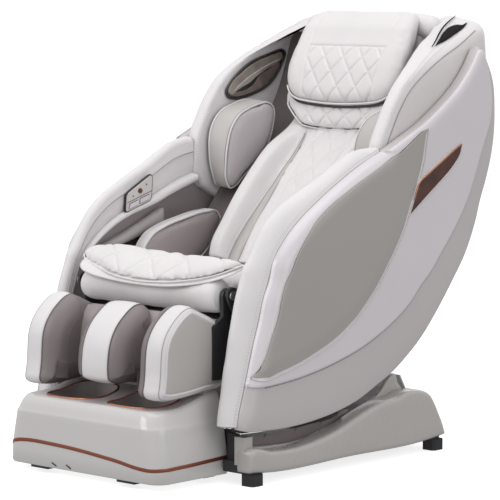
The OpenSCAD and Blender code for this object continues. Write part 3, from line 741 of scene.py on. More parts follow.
# --------------------------------------------------- inner side walls of seat
WALL = [(-34, 166), (60, 166), (60, 300), (150, 340), (520, 420), (600, 560), (640, 700), (520, 712), (506, 706),
        (400, 678), (300, 646), (185, 607), (112, 563), (58, 508), (34, 450), (15, 376), (-3, 302), (-20, 232)]
both("side_inner_wall", slab(ccw(curve(WALL, closed=True, corners=(0, 1, 2, 3, 4, 5, 6, 7), step=12)), 346, 362, r=4, step=30), TAUPE,
     "seat", slot="leather_taupe")

# --------------------------------------------------------------------- base
BASE = [(-27, 36), (40, 29), (360, 29), (700, 33), (764, 40), (750, 75), (733, 105), (715, 135), (697, 157),
        (667, 172), (630, 178), (603, 178), (561, 167), (498, 161), (436, 146), (375, 127), (314, 107), (235, 91),
        (156, 82), (60, 84), (-20, 93), (-27, 88)]
base_o = ccw(curve(BASE, closed=True, corners=(0, 4, 21), step=7))
both("base_cover_outer", slab(base_o, 347, 400, r=13, r0=3, step=26), BASEM, "base", ("base_cover_SIDE",),
     "base_shell")
SADDLE = [(0, 60), (660, 60), (652, 120), (644, 154), (630, 180), (618, 193), (601, 222), (590, 219), (575, 210),
          (542, 177), (500, 156), (418, 129), (320, 106), (218, 87), (100, 88), (6, 95)]
both("base_saddle", slab(ccw(curve(SADDLE, closed=True, corners=(0, 1, 15), step=8)), 334, 348, r=5, step=30), BASEM,
     "base", slot="base_shell")

# -------------------------------------------------------------------- wings
wing = ccw(resample(np.vstack([curve(WING_FRONT, step=6), curve(WING_REAR, corners=(), step=8)]), step=7, closed=True))


def leanvf(vf):
    return lean(vf[0]), vf[1]


both("wing_body", leanvf(slab(wing, 314, 357, r=17, r0=15, step=18, extra=(28, 40))), WHITE, "back",
     ("shoulder_wing_SIDE",), "panel")
wf = curve(WING_FRONT, step=6)
wr = curve(WING_REAR, step=8)
wi = offset(wf, -30 if area(np.vstack([wf, wr])) < 0 else 30, closed=False)
panel_o = np.vstack([wi[3:-3], curve([(968, 1150), (972, 1090), (974, 960), (974, 870), (965, 780), (930, 680),
                     (872, 740), (800, 720), (700, 675), (600, 690), (560, 712)], step=8)])
panel_o = ccw(resample(panel_o, step=7, closed=True))


def wing_panel_fn(V, D):
    return -2.5 * np.exp(-D / 14)


both("wing_panel", leanvf(slab(panel_o, 351, 359.5, r=3, r0=1, step=16, fn=wing_panel_fn, extra=(6, 12, 22))), LILACP, "back",
     slot="panel")
w3 = np.column_stack([np.full(len(wi), 357.8), wi])
both("wing_panel_seam", tube(lean(w3[2:-2] + [0.8, 0, 0]), 1.3, 6), SEAM_AND_SHADOW_LINE, "back", slot="leather_light")
for off, nm in ((8, "a"), (14, "b")):
    q = offset(wf, -off if area(np.vstack([wf, wr])) < 0 else off, closed=False)[3:-2]
    xo = 357 - 17 + math.sqrt(max(0, 17**2 - (17 - min(17, off))**2)) + .3
    both("wing_stitch_" + nm, stitches(lean(np.column_stack([np.full(len(q), xo), q])), 8, 5, .8), THREAD, "back",
         slot="leather_light")
    xi = 314 + 15 - math.sqrt(max(0, 15**2 - (15 - min(15, off))**2)) - .3
    both("wing_inner_stitch_" + nm, stitches(lean(np.column_stack([np.full(len(q), xi), q])), 8, 5, .8), THREAD, "back",
         slot="leather_light")


# ------------------------------------------------------------- soft helpers
SCN = bpy.context.scene


def normals(V, F):
    N = np.zeros_like(V)
    for size in (3, 4):
        G = np.array([f for f in F if len(f) == size])
        if len(G):
            n = np.cross(V[G[:, 1]] - V[G[:, 0]], V[G[:, 2]] - V[G[:, 0]])
            if size == 4:
                n = n + np.cross(V[G[:, 2]] - V[G[:, 0]], V[G[:, 3]] - V[G[:, 0]])
            for k in range(size):
                np.add.at(N, G[:, k], n)
    return unit(N)


def read_mesh(me):
    v = np.empty(len(me.vertices) * 3)
    me.vertices.foreach_get("co", v)
    v = v.reshape(-1, 3) * 1000
    v[:, 1] -= Y0
    return v, [tuple(p.vertices) for p in me.polygons]


def inflate(vf, voxel=6.0, cap=6.0, pressure=4.0, last=14, sub=1, eng=None):
    """an even skin over a closed form, blown up a little as cloth; eng gives
    the sewn-in depth at each point"""
    v, f = vf
    me = bpy.data.meshes.new("work")
    me.from_pydata([tuple(p) for p in M(v)], [], [tuple(int(i) for i in q) for q in f])
    o = bpy.data.objects.new("work", me)
    SCN.collection.objects.link(o)
    r = o.modifiers.new("r", "REMESH")
    r.mode, r.voxel_size = "VOXEL", voxel * 0.001
    bpy.context.view_layer.update()
    me2 = bpy.data.meshes.new_from_object(o.evaluated_get(bpy.context.evaluated_depsgraph_get()))
    o.modifiers.clear()
    o.data = me2
    base, faces = read_mesh(me2)
    c = o.modifiers.new("c", "CLOTH")
    s = c.settings
    s.quality, s.mass = 4, 0.3
    s.tension_stiffness = s.compression_stiffness = 15
    s.bending_stiffness = 0.6
    s.use_pressure, s.uniform_pressure_force = True, pressure
    s.effector_weights.gravity = 0
    c.collision_settings.use_collision = False
    c.point_cache.frame_start, c.point_cache.frame_end = 1, last
    for fr in range(1, last + 1):
        SCN.frame_set(fr)
    ev = o.evaluated_get(bpy.context.evaluated_depsgraph_get())
    moved, _ = read_mesh(ev.data)
    o.modifiers.clear()
    SCN.frame_set(1)
    if len(moved) == len(base):
        d = moved - base
        L = np.linalg.norm(d, axis=1, keepdims=True)
        base = base + d * np.minimum(1, cap / np.maximum(L, 1e-6))
    nb = [[] for _ in base]
    E = np.array(sorted({(min(a, b), max(a, b)) for q in faces for a, b in zip(q, q[1:] + q[:1])}))
    cnt = np.zeros(len(base))
    np.add.at(cnt, E[:, 0], 1)
    np.add.at(cnt, E[:, 1], 1)
    for _ in range(3):
        acc = np.zeros_like(base)
        np.add.at(acc, E[:, 0], base[E[:, 1]])
        np.add.at(acc, E[:, 1], base[E[:, 0]])
        base = base * .5 + .5 * acc / cnt[:, None]
    me2.vertices.foreach_set("co", M(base).ravel())
    me2.update()
    if sub:
        sm = o.modifiers.new("s", "SUBSURF")
        sm.levels = sm.render_levels = sub
        me3 = bpy.data.meshes.new_from_object(o.evaluated_get(bpy.context.evaluated_depsgraph_get()))
        base, faces = read_mesh(me3)
    bpy.data.objects.remove(o)
    if eng is not None:
        n = normals(base, faces)
        base = base + n * np.reshape(eng(base, n), (-1, 1))
    return base, faces


def along(P2, line):
    """arc length and distance of each 2-D point on an open line"""
    A, B = line[:-1], line[1:]
    s0 = np.concatenate([[0], np.cumsum(np.linalg.norm(B - A, axis=1))])
    arc, dist = np.zeros(len(P2)), np.full(len(P2), 1e9)
    for k in range(0, len(P2), 4000):
        p = P2[k:k + 4000, None, :]
        ab = (B - A)[None]
        L2 = np.maximum(np.sum(ab * ab, -1), 1e-12)
        t = np.clip(np.sum((p - A[None]) * ab, -1) / L2, 0, 1)
        d = np.linalg.norm(p - A[None] - ab * t[..., None], axis=-1)
        j = np.argmin(d, 1)
        ii = np.arange(len(j))
        arc[k:k + 4000] = s0[j] + t[ii, j] * np.sqrt(L2[0, j])
        dist[k:k + 4000] = d[ii, j]
    return arc, dist


def groove(d, depth, w):
    return -depth * np.exp(-(d / w)**2)


def quilt(S, T, w, h, depth=3.2, width=4.0):
    """sewn diamonds: w across, h along"""
    a, b = S / w + T / h, S / w - T / h
    k = 1 / math.hypot(1 / w, 1 / h)
    da = np.abs(a - np.round(a)) * k
    db = np.abs(b - np.round(b)) * k
    d = np.minimum(da, db)
    return 2.4 * (1 - np.exp(-d / 9.0)) + groove(d, depth, width)


def pts3(x, P2):
    return np.column_stack([np.full(len(P2), x) if np.isscalar(x) else x, P2])


def lathe(rings):
    return loft(rings, True, True, True)


def dome_slab(outline, x0, x1, r0, r1, d0=0.0, d1=0.0, w=40.0, step=16, extra=(), f0=None, f1=None):
    """a cushion in the side plane; x0 is its inner face, x1 its outer face"""
    def top(V, D):
        x = x1 - r1 + fillet(D, r1) + d1 * (1 - np.exp(-D / w)) + (0 if f1 is None else f1(V, D))
        return np.stack([x, V[:, 0], V[:, 1]], 1)

    def bottom(V, D):
        x = x0 + r0 - fillet(D, r0) - d0 * (1 - np.exp(-D / w)) + (0 if f0 is None else f0(V, D))
        return np.stack([x, V[:, 0], V[:, 1]], 1)
    return plate(outline, top, bottom, rings_for(max(r0, r1), extra), step)


def padded(objs):
    return objs


# ------------------------------------------------------------- foot housing
def foot_ring(z, X, F, r, B=4.0, n=11, lift=0.0):
    """rounded box outline at height z; lift raises its rear part"""
    P = []
    for cx, cy, a0 in ((X - r, F + r, -90), (-X + r, F + r, 180)):
        for a in np.linspace(0, 90, n):
            t = math.radians(a0 + a)
            P.append((cx + r * math.cos(t), cy + r * math.sin(t)))
    front = P[n:][::-1]
    right = P[:n]
    out = [(-X, B)] + [(-X, B + (F + r - B) * k / 8) for k in range(1, 8)]
    out += [(x, y) for x, y in P[n:]]
    left_pts = out
    fr = [(-X + r + (2 * X - 2 * r) * k / 16, F) for k in range(1, 16)]
    rt = [(x, y) for x, y in right]
    bk = [(X, F + r + (B - F - r) * k / 8) for k in range(1, 8)] + [(X, B)]
    rr = [(X - 2 * X * k / 12, B) for k in range(1, 12)]
    Q = np.array(left_pts + fr + rt + bk + rr)
    s = np.clip((Q[:, 1] + 150) / 165, 0, 1)
    zz = z + lift * s * s * (3 - 2 * s)
    return np.column_stack([Q, zz])


FR = [foot_ring(17, 276, -238, 38), foot_ring(18.5, 282, -245, 41), foot_ring(23, 284, -248, 43),
      foot_ring(60, 284, -248.5, 46), foot_ring(100, 279, -248, 48), foot_ring(140, 272, -247.5, 50),
      foot_ring(154, 270, -247, 50), foot_ring(158, 268.8, -246.6, 50), foot_ring(160.5, 267, -245.5, 50, lift=1),
      foot_ring(166, 264.5, -243.5, 50, lift=6), foot_ring(176, 261, -240.5, 50, lift=14),
      foot_ring(186, 257, -236.5, 50, lift=22), foot_ring(194, 252, -231, 50, lift=28),
      foot_ring(198, 247, -226, 48, lift=31), foot_ring(200, 240, -219, 46, lift=31.5)]
fv, ff = loft(FR, True, True, False)
add("foot_housing_body", fv, ff, SILVER_AND_HIGHLIGHT, "footrest", ("foot_housing",), "base_shell", sharp=40)
wells = []
for sx in (1, -1):
    e = [(sx * 115 + 83 * math.copysign(abs(math.cos(t))**.62, math.cos(t)),
          -127 + 78 * math.copysign(abs(math.sin(t))**.62, math.sin(t))) for t in np.linspace(0, 2 * math.pi, 72, endpoint=False)]
    wells.append(resample(np.array(e), step=7, closed=True))
topo = FR[-1][:, :2]
O = ccw(resample(topo, step=9, closed=True))
gx, gy = np.meshgrid(np.arange(-235, 236, 14), np.arange(-208, 4, 14))
G = np.column_stack([gx.ravel(), gy.ravel()])
G = G[inside(G, O)]
G = G[seg_dist(G, O) > 6]
for wl in wells:
    G = G[~inside(G, wl)]
    G = G[seg_dist(G, wl) > 5]
pts = [O] + wells + [G]
edges, n0 = [], 0
for c in [O] + wells:
    edges += [(n0 + i, n0 + (i + 1) % len(c)) for i in range(len(c))]
    n0 += len(c)
res = geometry.delaunay_2d_cdt([Vector(p) for p in np.vstack(pts)], edges, [], 1, 1e-6)
V2 = np.array([(v[0], v[1]) for v in res[0]])
C = np.array([V2[list(f)].mean(0) for f in res[2]])
bad = inside(C, wells[0]) | inside(C, wells[1]) | ~inside(C, O)
F2 = [tuple(f) for f, b in zip(res[2], bad) if not b]


def top_z(P):
    s = np.clip((P[:, 1] + 150) / 165, 0, 1)
    return 200 + 31.5 * s * s * (3 - 2 * s)


add("foot_housing_top", np.column_stack([V2, top_z(V2)]), F2, PEARL2, "footrest", ("foot_housing",), "base_shell")
for k, wl in enumerate(wells):
    rings = []
    cw = wl.mean(0)
    for q, z in ((1, 0.4), (1, -6), (.985, -14), (.975, -60), (.97, -110), (.93, -142), (.8, -149), (.4, -150)):
        r = cw + (wl - cw) * q
        rings.append(np.column_stack([r, np.maximum(top_z(wl) + z, 51) if z > -120 else np.full(len(wl), 201 + z)]))
    add(f"foot_well_lining_{k}", *loft(rings, True, False, True), TAUPE, "footrest", slot="base_shell", sharp=60,
        recalc=False)
    rim3 = np.column_stack([cw + (wl - cw) * 1.03, top_z(wl) + 1.2])
    add(f"foot_well_rim_{k}", *tube(rim3, 3.0, 7, closed=True, flat=.8), COPPER, "footrest", ("foot_trim",), "copper")
# the copper line round the housing
line_front = [(-285, 4, 74), (-284, -60, 68), (-283, -140, 62), (-282, -205, 61), (-276, -226, 64), (-262, -240, 72), (-238, -247, 79),
              (-204, -248, 82.5), (-116, -248, 82.5), (-21, -248, 79), (71, -248, 72), (144, -248, 65), (198, -248, 57.5),
              (238, -247, 55), (262, -240, 55), (276, -226, 56), (283, -190, 57), (285, -135, 58), (285, -61, 60.5), (285, 4, 63)]


def on_house(P):
    """moves points sideways onto the housing's skin"""
    out = []
    for x, y, z in P:
        zs = [17, 23, 60, 100, 140, 160]
        Xh = np.interp(z, zs, [276, 284, 284, 279, 272, 267])
        Fh = np.interp(z, zs, [-238, -248, -248.5, -248, -247.5, -245.5])
        r = 47
        if y > Fh + r:
            out.append((math.copysign(Xh + .6, x), y, z))
        elif abs(x) < Xh - r:
            out.append((x, Fh - .6, z))
        else:
            c = np.array([math.copysign(Xh - r, x), Fh + r])
            d = unit(np.array([x, y]) - c)
            out.append((*(c + d * (r + .6)), z))
    return np.array(out)


cl = on_house(curve(line_front, step=6))
rows_c = []
for dz, push in ((-5, -1.2), (-4.4, .8), (-2, 1.4), (2, 1.4), (4.4, .8), (5, -1.2)):
    q = on_house(cl + [0, 0, dz])
    cen = np.array([0, -90, 0])
    d = q - cen
    d[:, 2] = 0
    rows_c.append(q + unit(d) * push)
add("foot_copper_line", *loft(np.array(rows_c), False), COPPERM, "footrest", ("foot_trim",), "copper", recalc=False)
slots = []
for x in (-98, -44):
    b = on_house(np.array([[x - 9, -248, 35], [x - 8, -248, 31], [x + 9, -248, 24], [x + 8, -248, 28]]))
    slots.append((np.vstack([b + [0, -.5, 0], b + [0, 4, 0]]), [(0, 1, 2, 3), (7, 6, 5, 4), (0, 4, 5, 1), (1, 5, 6, 2), (2, 6, 7, 3), (3, 7, 4, 0)]))
add("foot_slots", *join(slots), BLACK, "footrest", slot="black_plastic")

# ------------------------------------------------------------ calf cushions
CALFT = mat("calf_leather_taupe", (0.215, 0.182, 0.186), 0.42, coat=0.1, coat_rough=0.3, grain=0.3, kind="leather",
            grain_scale=620, mottle=0.035, fold=0.06)
CALF = [(-40, 436), (-62, 446), (-80, 454), (-98, 459), (-117, 454), (-146, 436), (-171, 413), (-189, 388), (-199, 362), (-204, 325),
        (-206, 290), (-210, 262), (-213, 242), (-207, 230), (-190, 225), (-138, 223.5), (-100, 226), (-48, 232), (18, 239), (31, 246),
        (35, 300), (35, 384), (26, 401), (4, 415), (-18, 426)]
DIV = [(-44, 430), (-58, 446), (-80, 448), (-102, 440), (-128, 422), (-152, 400), (-170, 374), (-181, 346), (-187, 312), (-188, 280),
       (-184, 260), (-168, 251), (-95, 250), (-50, 252), (-38, 270), (-37, 400)]
calf = ccw(curve(CALF, closed=True, step=6))
divo = ccw(curve([(y - 8, z) for y, z in DIV], closed=True, step=6))


def band_loft(o, prof):
    return loft([pts3(x, offset(o, d)) for x, d in prof], True)


both("calf_pad_front", band_loft(calf, [(250, 40), (255, 24), (256, 17), (253.5, 10), (248, 4.5), (242, 1), (234, -.8), (220, -1.4), (206, -.6),
     (197, 1.0), (193, 3.5), (191, 7)]), WHITE, "legrest", ("calf_side_pads",), "leather_light", recalc=False)
both("calf_pad_side", dome_slab(offset(calf, 15), 226, 256.5, 6, 9, d1=2.5, w=30, step=20), GREY, "legrest", ("calf_side_pads",),
     "leather_light")
cp = band_loft(calf, [(192.5, 7), (191.5, 4), (187, 2.6), (180, 3.8), (171, 8), (162, 16), (155, 26), (150, 38), (147.5, 52), (147, 62), (152, 70)])
padded(both("calf_pad_inner", cp, CALFT, "legrest", ("calf_side_pads",), "leather_taupe", recalc=False))
both("calf_pad_inner_face", slab(offset(calf, 52), 147, 170, r=3, r0=2, step=22), CALFT, "legrest", slot="leather_taupe")
both("calf_piping_a", tube(pts3(191.4, offset(calf, 3.2)), 1.9, 7, closed=True), DARKT, "legrest", slot="leather_light")
both("calf_piping_b", tube(pts3(256, offset(calf, 15.5)), 2.0, 7, closed=True), WHITE, "legrest", slot="leather_light")
both("calf_seam", tube(pts3(247, offset(calf, 3.6)), 1.0, 6, closed=True), SEAM_AND_SHADOW_LINE, "legrest", slot="leather_light")
dv = [(-91, 58), (-90, 46), (-87, 34), (-82, 24), (-75, 15), (-66, 8.5), (-57, 4.2), (-48, 2)]
add("calf_divider_far", *band_loft(divo, dv), CALFT, "legrest", ("calf_inner_pads",), "leather_taupe", recalc=False)
add("calf_divider_front", *band_loft(divo, [(-48, 3.5), (-46, .6), (-38, -1), (-14, -2.4), (14, -2.4), (38, -1), (46, .6), (48, 3.5)]),
    WHITE, "legrest", ("calf_inner_pads",), "leather_light", recalc=False)
add("calf_divider_near", *band_loft(divo, [(-a, d) for a, d in dv[::-1]]), CALFT, "legrest", ("calf_inner_pads",), "leather_taupe",
    recalc=False)
dvf = slab(offset(divo, 50), -90.6, 90.6, r=4, r0=4, step=20)
padded(add("calf_divider_faces", *dvf, CALFT, "legrest", ("calf_inner_pads",), "leather_taupe"))
for k, x in enumerate((-48.4, 48.4)):
    add(f"calf_divider_piping_{k}", *tube(pts3(x, offset(divo, 1.6)), 1.8, 7, closed=True), DARKT, "legrest", slot="leather_light")
BACKC = curve([(-56, 430), (-76, 404), (-88, 360), (-91, 310), (-87, 262), (-70, 242)], n=30)
us = np.linspace(-1, 1, 17)
rr = []
for u in us:
    x = 104 + 46 * u
    q = BACKC.copy()
    q[:, 0] += -16 * abs(u)**2.6 + 0.8 * np.exp(-(u / .06)**2)
    rr.append(pts3(x, q))
both("calf_channel_back", loft(np.array(rr), False), TAUPE, "legrest", ("calf_inner_pads",), "leather_taupe", recalc=False)


# --------------------------------------------------- seat: roll, flap, cushion
def roll_rings():
    out = []
    for x in np.linspace(-246, 246, 62):
        e = max(0.0, (abs(x) - 206) / 40)
        k = math.sqrt(max(0, 1 - e**2.4 * .42)) if e else 1
        ph = 1 + .012 * math.sin(x / 23.0) + .008 * math.sin(x / 9.0 + 1)
        ring = []
        for a in np.linspace(0, 2 * math.pi, 40, endpoint=False):
            sag = 1 + .10 * max(0, -math.sin(a)) * (1 - .3 * abs(x) / 246)
            fr = 1 + .06 * max(0, -math.cos(a))
            r = 45.5 * k * ph
            ring.append((x, 30 + r * math.cos(a) * fr, 478 + r * math.sin(a) * sag - 3 * (1 - k) * 10))
        out.append(ring)
    return np.array(out)


RR = roll_rings()
padded(add("seat_roll_cushion", *lathe(RR), SOFT, "seat", ("seat_front_roll",), "leather_light", sharp=60))
seat_o = ccw(curve([(60, 458), (440, 458), (446, 496), (400, 500), (300, 503), (200, 505), (110, 508), (72, 506), (60, 490)],
                   closed=True, corners=(0, 1), step=9))


def seat_eng(V, n):
    up = np.clip(n[:, 2], 0, 1)
    d = np.minimum(np.abs(np.abs(V[:, 0]) - 150), 60)
    return up * (groove(d, 5, 7) + groove(np.abs(V[:, 1] - 250), 4, 7) * (np.abs(V[:, 0]) < 150))


sv = dome_slab(seat_o, -246, 246, 16, 16, step=22)
padded(add("seat_cushion", *inflate(sv, 9, 5, last=10, eng=seat_eng), SOFT, "seat", ("seat_pad",), "leather_light", sharp=0))

FRONT = [(-288, 48, 546), (-262, 28, 536), (-228, 10, 530), (-190, -3, 525), (-140, -18, 516), (-93, -26, 508), (-40, -28, 503),
         (0, -28, 501), (60, -27, 503), (110, -24, 506), (148, -19, 511), (199, -6, 520), (240, 16, 531), (270, 38, 545), (290, 57, 555)]
BACK = [(-288, 60, 548), (-277, 72, 556), (-240, 79, 565), (-185, 82, 571), (-97, 82, 569), (-50, 80, 567), (0, 77, 566),
        (23, 74, 562), (38, 74, 565), (62, 73, 566), (84, 72, 561), (110, 71, 564), (155, 68, 564), (220, 64, 563), (265, 61, 561), (290, 59, 557)]
nf = 84
fc, bc = curve(FRONT, n=nf), curve(BACK, n=nf)


def flap_surface(fc, bc, thick, crown, drop=0.0, fold=1.0):
    """upper skin over the roll from its back edge to its front edge"""
    top, bot = [], []
    for i in range(len(fc)):
        a, b = bc[i], fc[i]
        s = i / (len(fc) - 1)
        tip = math.sqrt(max(0, 1 - abs(2 * s - 1)**3.2))
        rt, rb = [], []
        for t in np.linspace(0, 1, 26):
            p = a + (b - a) * t
            arch = math.sin(math.pi * min(1, t * .92 + .04))
            z = p[2] + crown * arch * tip * (1 - .25 * t)
            y = p[1] - 6 * arch * tip * t
            th = thick * (1 - abs(2 * t - 1)**2.8)**.5 * (.25 + .75 * tip)
            x = p[0]
            wave = fold * tip * (1.3 * math.sin(x / 26.0 + 3 * t) + .9 * math.sin(x / 11.0 - 4 * t)) * arch
            rt.append((x, y, z + th * .5 + wave - drop))
            rb.append((x, y, z - th * .5 + wave * .6 - drop))
        top.append(rt)
        bot.append(rb)
    top, bot = np.array(top), np.array(bot)
    rings = np.concatenate([top, bot[:, ::-1][:, 1:-1]], axis=1)
    return loft(rings, True, True, True)


def flap_eng(V, n):
    up = np.clip(n[:, 2] - n[:, 1], 0, 1)
    T = (V[:, 1] - 20) * 1.35
    d = quilt(V[:, 0] + 8, T, 132, 150, 2.2, 3.2) - 1.2
    mid = groove(np.abs(V[:, 0] - 23), 1.6, 3)
    return up * (d + mid)


fl1 = flap_surface(fc, bc, 17, 12)
padded(add("seat_flap_quilt", *inflate(fl1, 4.5, 4, last=12, eng=flap_eng), SOFT, "seat", ("seat_flap",), "leather_light", sharp=0))
edge = np.vstack([fc, bc[::-1]])
add("seat_flap_piping", *tube(resample(fc, step=6) + [0, -1.5, -1], 2.4, 8), WHITE, "seat", slot="leather_light")
F2c = [(-276, 34, 540), (-262, 8, 531), (-236, -14, 521), (-190, -28, 512), (-120, -33, 504), (0, -33, 498), (150, -25, 505),
       (240, 6, 524), (276, 34, 540), (296, 58, 556)]
B2c = [(-276, 46, 545), (-268, 56, 552), (-236, 60, 556), (-190, 60, 556), (-120, 60, 556), (0, 60, 554), (150, 55, 552), (240, 56, 552), (280, 60, 556), (296, 62, 558)]
f2, b2 = curve(F2c, n=60), curve(B2c, n=60)
padded(add("seat_flap_under", *flap_surface(f2, b2, 9, 4, drop=8, fold=.5), SOFT, "seat", ("seat_flap",), "leather_light", sharp=0))

# --------------------------------------------------------------- hip cushions
THIGH = [(236, 482), (440, 486), (500, 520), (548, 584), (560, 612), (545, 632), (500, 634), (406, 620), (330, 602), (287, 584),
         (258, 556), (240, 520)]
th_o = ccw(curve(THIGH, closed=True, corners=(0, 1), step=6))
th = dome_slab(th_o, 262, 297, 12, 12, d0=6, w=34, step=15)
padded(both("hip_pad", inflate(th, 5, 5, last=12), TAUPE, "seat", ("thigh_pads",), "leather_taupe", sharp=0))
bnd = [pts3(x, offset(th_o, d)) for x, d in ((298, 6), (297, 1.5), (291, -1.2), (280, -1.8), (269, -.8), (265, 1.0), (263, 5))]
padded(both("hip_pad_band", loft(bnd, True), WHITE, "seat", ("thigh_pads",), "leather_light", recalc=False))
both("hip_pad_piping_a", tube(pts3(263.5, offset(th_o, 1.5)), 2.1, 8, closed=True), WHITE, "seat", slot="leather_light")
both("hip_pad_piping_b", tube(pts3(296.5, offset(th_o, .2)), 1.8, 8, closed=True), WHITE, "seat", slot="leather_light")

# ------------------------------------------------------------ forearm cushions
FL = [(112, 507), (250, 505), (400, 506), (400, 562), (330, 548), (250, 537), (180, 528), (128, 522)]
fo = ccw(curve(FL, closed=True, corners=(0, 2, 3), step=6))
padded(both("forearm_lower", inflate(dome_slab(fo, 308, 347, 9, 9, d0=2, step=16), 5, 4, last=10), TAUPE, "seat",
            ("forearm_pads",), "leather_taupe", sharp=0))
FU = [(152, 549), (205, 549), (270, 562), (330, 579), (398, 598), (398, 652), (300, 612), (230, 584), (180, 566), (156, 556)]
fu = ccw(curve(FU, closed=True, corners=(4, 5), step=6))
padded(both("forearm_upper", inflate(dome_slab(fu, 322, 348, 9, 6, d0=3, step=16), 5, 4, last=10), GREY, "seat",
            ("forearm_pads",), "leather_taupe", sharp=0))
both("forearm_shadow_gap", slab(np.array([(118, 522), (180, 530), (330, 551), (400, 566), (400, 594), (330, 575), (200, 545), (130, 545)]),
     338, 352, r=2, step=40), SHADE, "seat", slot="leather_taupe")

# -------------------------------------------------------------- control panel
CTRL = [(219, 651), (221, 648), (226, 647), (309, 671), (313, 673), (319, 681), (324, 732), (323, 740), (317, 744), (309, 741),
        (241, 706), (230, 700), (222, 690)]
co_ = ccw(curve(CTRL, closed=True, corners=tuple(range(13)), step=2.0))
for _ in range(3):
    co_ = (np.roll(co_, 1, 0) + 4 * co_ + np.roll(co_, -1, 0)) / 6
cx = 305.8


def panel_piece(name, o, x_out, x_in, r, m, body, rep=(), slot_="key", step=9):
    return add(name, *mirror(dome_slab(o, x_in, x_out, r, .5, step=step), -1), m, body, rep, slot_)


panel_piece("control_outline", offset(co_, -2.6), cx + .5, cx - 5.2, 1.2, BLACK, "seat", ("control_panel",), "black_plastic")
panel_piece("control_face", offset(co_, .6), cx, cx - 6.6, 1.4, SILVER_AND_HIGHLIGHT, "seat", ("control_panel",))
KA = [(230, 654), (265, 664), (267, 678), (234, 668)]
KB = [(272, 666.5), (306, 676.5), (311, 691), (274, 680.5)]
for nm, K, bd in (("key_front", KA, "front_key"), ("key_rear", KB, "rear_key")):
    k = ccw(curve(K, closed=True, corners=(0, 1, 2, 3), step=2))
    panel_piece(nm + "_well", offset(k, -1.6), cx - 5.5, cx - 6.9, .5, SHADE, "seat", slot_="black_plastic")
    panel_piece(nm + "_cap", offset(k, .4), cx - 3.2, cx - 9.1, .5, PEARL, bd, (nm,))
kn = np.array([(274 + 7 * math.cos(t), 702.5 + 6.6 * math.sin(t)) for t in np.linspace(0, 2 * math.pi, 40, endpoint=False)])
panel_piece("select_cap", kn, cx - 3.2, cx - 9.9, .9, GLOSS, "select_key", ("select_button",), "black_plastic", step=4)
panel_piece("select_ring", offset(kn, -1.8), cx - 5.5, cx - 7.2, .6, COPPER, "seat", slot_="copper", step=4)
for i, (a, b) in enumerate(((247, 689), (299, 719))):
    d = np.array([(a + 2.6 * math.cos(t), b + 2.2 * math.sin(t)) for t in np.linspace(0, 2 * math.pi, 20, endpoint=False)])
    panel_piece(f"control_lamp_{i}", d, cx - 5.5, cx - 7.2, .4, GLOSS, "seat", slot_="black_plastic", step=2)
dl = np.array([(225, 672), (262, 683), (290, 691), (319, 700)])
add("control_divider", *mirror(tube(pts3(cx - 6.7, dl), .9, 6), -1), SHADE, "seat", slot="black_plastic")


# ----------------------------------------------------------------- head pillow
FLN = curve([(916, 1191), (899, 1185), (884, 1171), (866, 1146), (846, 1110), (822, 1069), (798, 1023), (775, 980), (760, 950), (749, 930)], n=90)
TL_ = np.concatenate([[0], np.cumsum(np.linalg.norm(np.diff(FLN, axis=0), axis=1))])
TT = TL_[-1]
tn = unit(np.gradient(FLN, axis=0))
nrm_f = np.stack([tn[:, 1], -tn[:, 0]], 1)        # towards the sitter
if nrm_f[45, 0] > 0:
    nrm_f = -nrm_f


def on_line(T, d):
    y = np.interp(T, TL_, FLN[:, 0]) + d * np.interp(T, TL_, nrm_f[:, 0])
    z = np.interp(T, TL_, FLN[:, 1]) + d * np.interp(T, TL_, nrm_f[:, 1])
    return y, z


def shift(T):
    """how far the pillow's face stands forward of its line"""
    return np.interp(T, [0, 40, 80, 200, 250, 290, TT], [4, 16, 27, 26, 18, 10, 8])


def pillow_outline():
    H = [(0, 309), (60, 307), (118, 302), (150, 297), (178, 284), (198, 262), (209, 238), (214, 205), (213, 170),
         (211, 140), (208, 112), (204, 85), (199, 62), (193, 42), (185, 24), (168, 8), (140, 1), (90, 0), (0, 0)]
    right = curve(H, step=6)
    leftp = right[::-1] * [-1, 1]
    return np.vstack([right, leftp[1:-1]])


po = resample(pillow_outline(), step=6, closed=True)
po = ccw(po)
for _ in range(3):
    po = (np.roll(po, 1, 0) + 2 * po + np.roll(po, -1, 0)) / 4


def pil_top(V, D):
    y, z = on_line(np.clip(V[:, 1], 0, TT), -12 + (12 + shift(V[:, 1])) * np.sqrt(1 - (1 - np.clip(D / 28, 0, 1))**2))
    return np.stack([V[:, 0], y, z], 1)


def pil_bot(V, D):
    y, z = on_line(np.clip(V[:, 1], 0, TT), -12 - 10 * np.sqrt(1 - (1 - np.clip(D / 20, 0, 1))**2))
    return np.stack([V[:, 0], y, z], 1)


def pil_eng(V, n):
    T, _ = along(V[:, 1:], FLN)
    S = V[:, 0]
    front = np.clip((-n[:, 1] + n[:, 2] * .6) * 1.6, 0, 1)
    T0, Tb = 144.0, TT - 6
    bx = np.interp(T, [0, 60, 100, 160, 200, 260, 300], [138, 142, 142, 141, 136, 130, 125])   # side border seam
    inq = (T > T0) & (np.abs(S) < bx)
    edge = np.minimum(np.abs(np.abs(S) - bx), 400)
    q = quilt(S, T - 178, 69, 86, 2.6, 3.2) * np.clip((bx - np.abs(S)) / 8, 0, 1) * np.clip((T - T0) / 8, 0, 1)
    h = np.where(inq, q, 1.2)
    h = h + groove(edge, 2.4, 3.0) * (T > 14)
    h = h + groove(T - T0, 2.6, 3.0) * (np.abs(S) < bx)
    return front * h


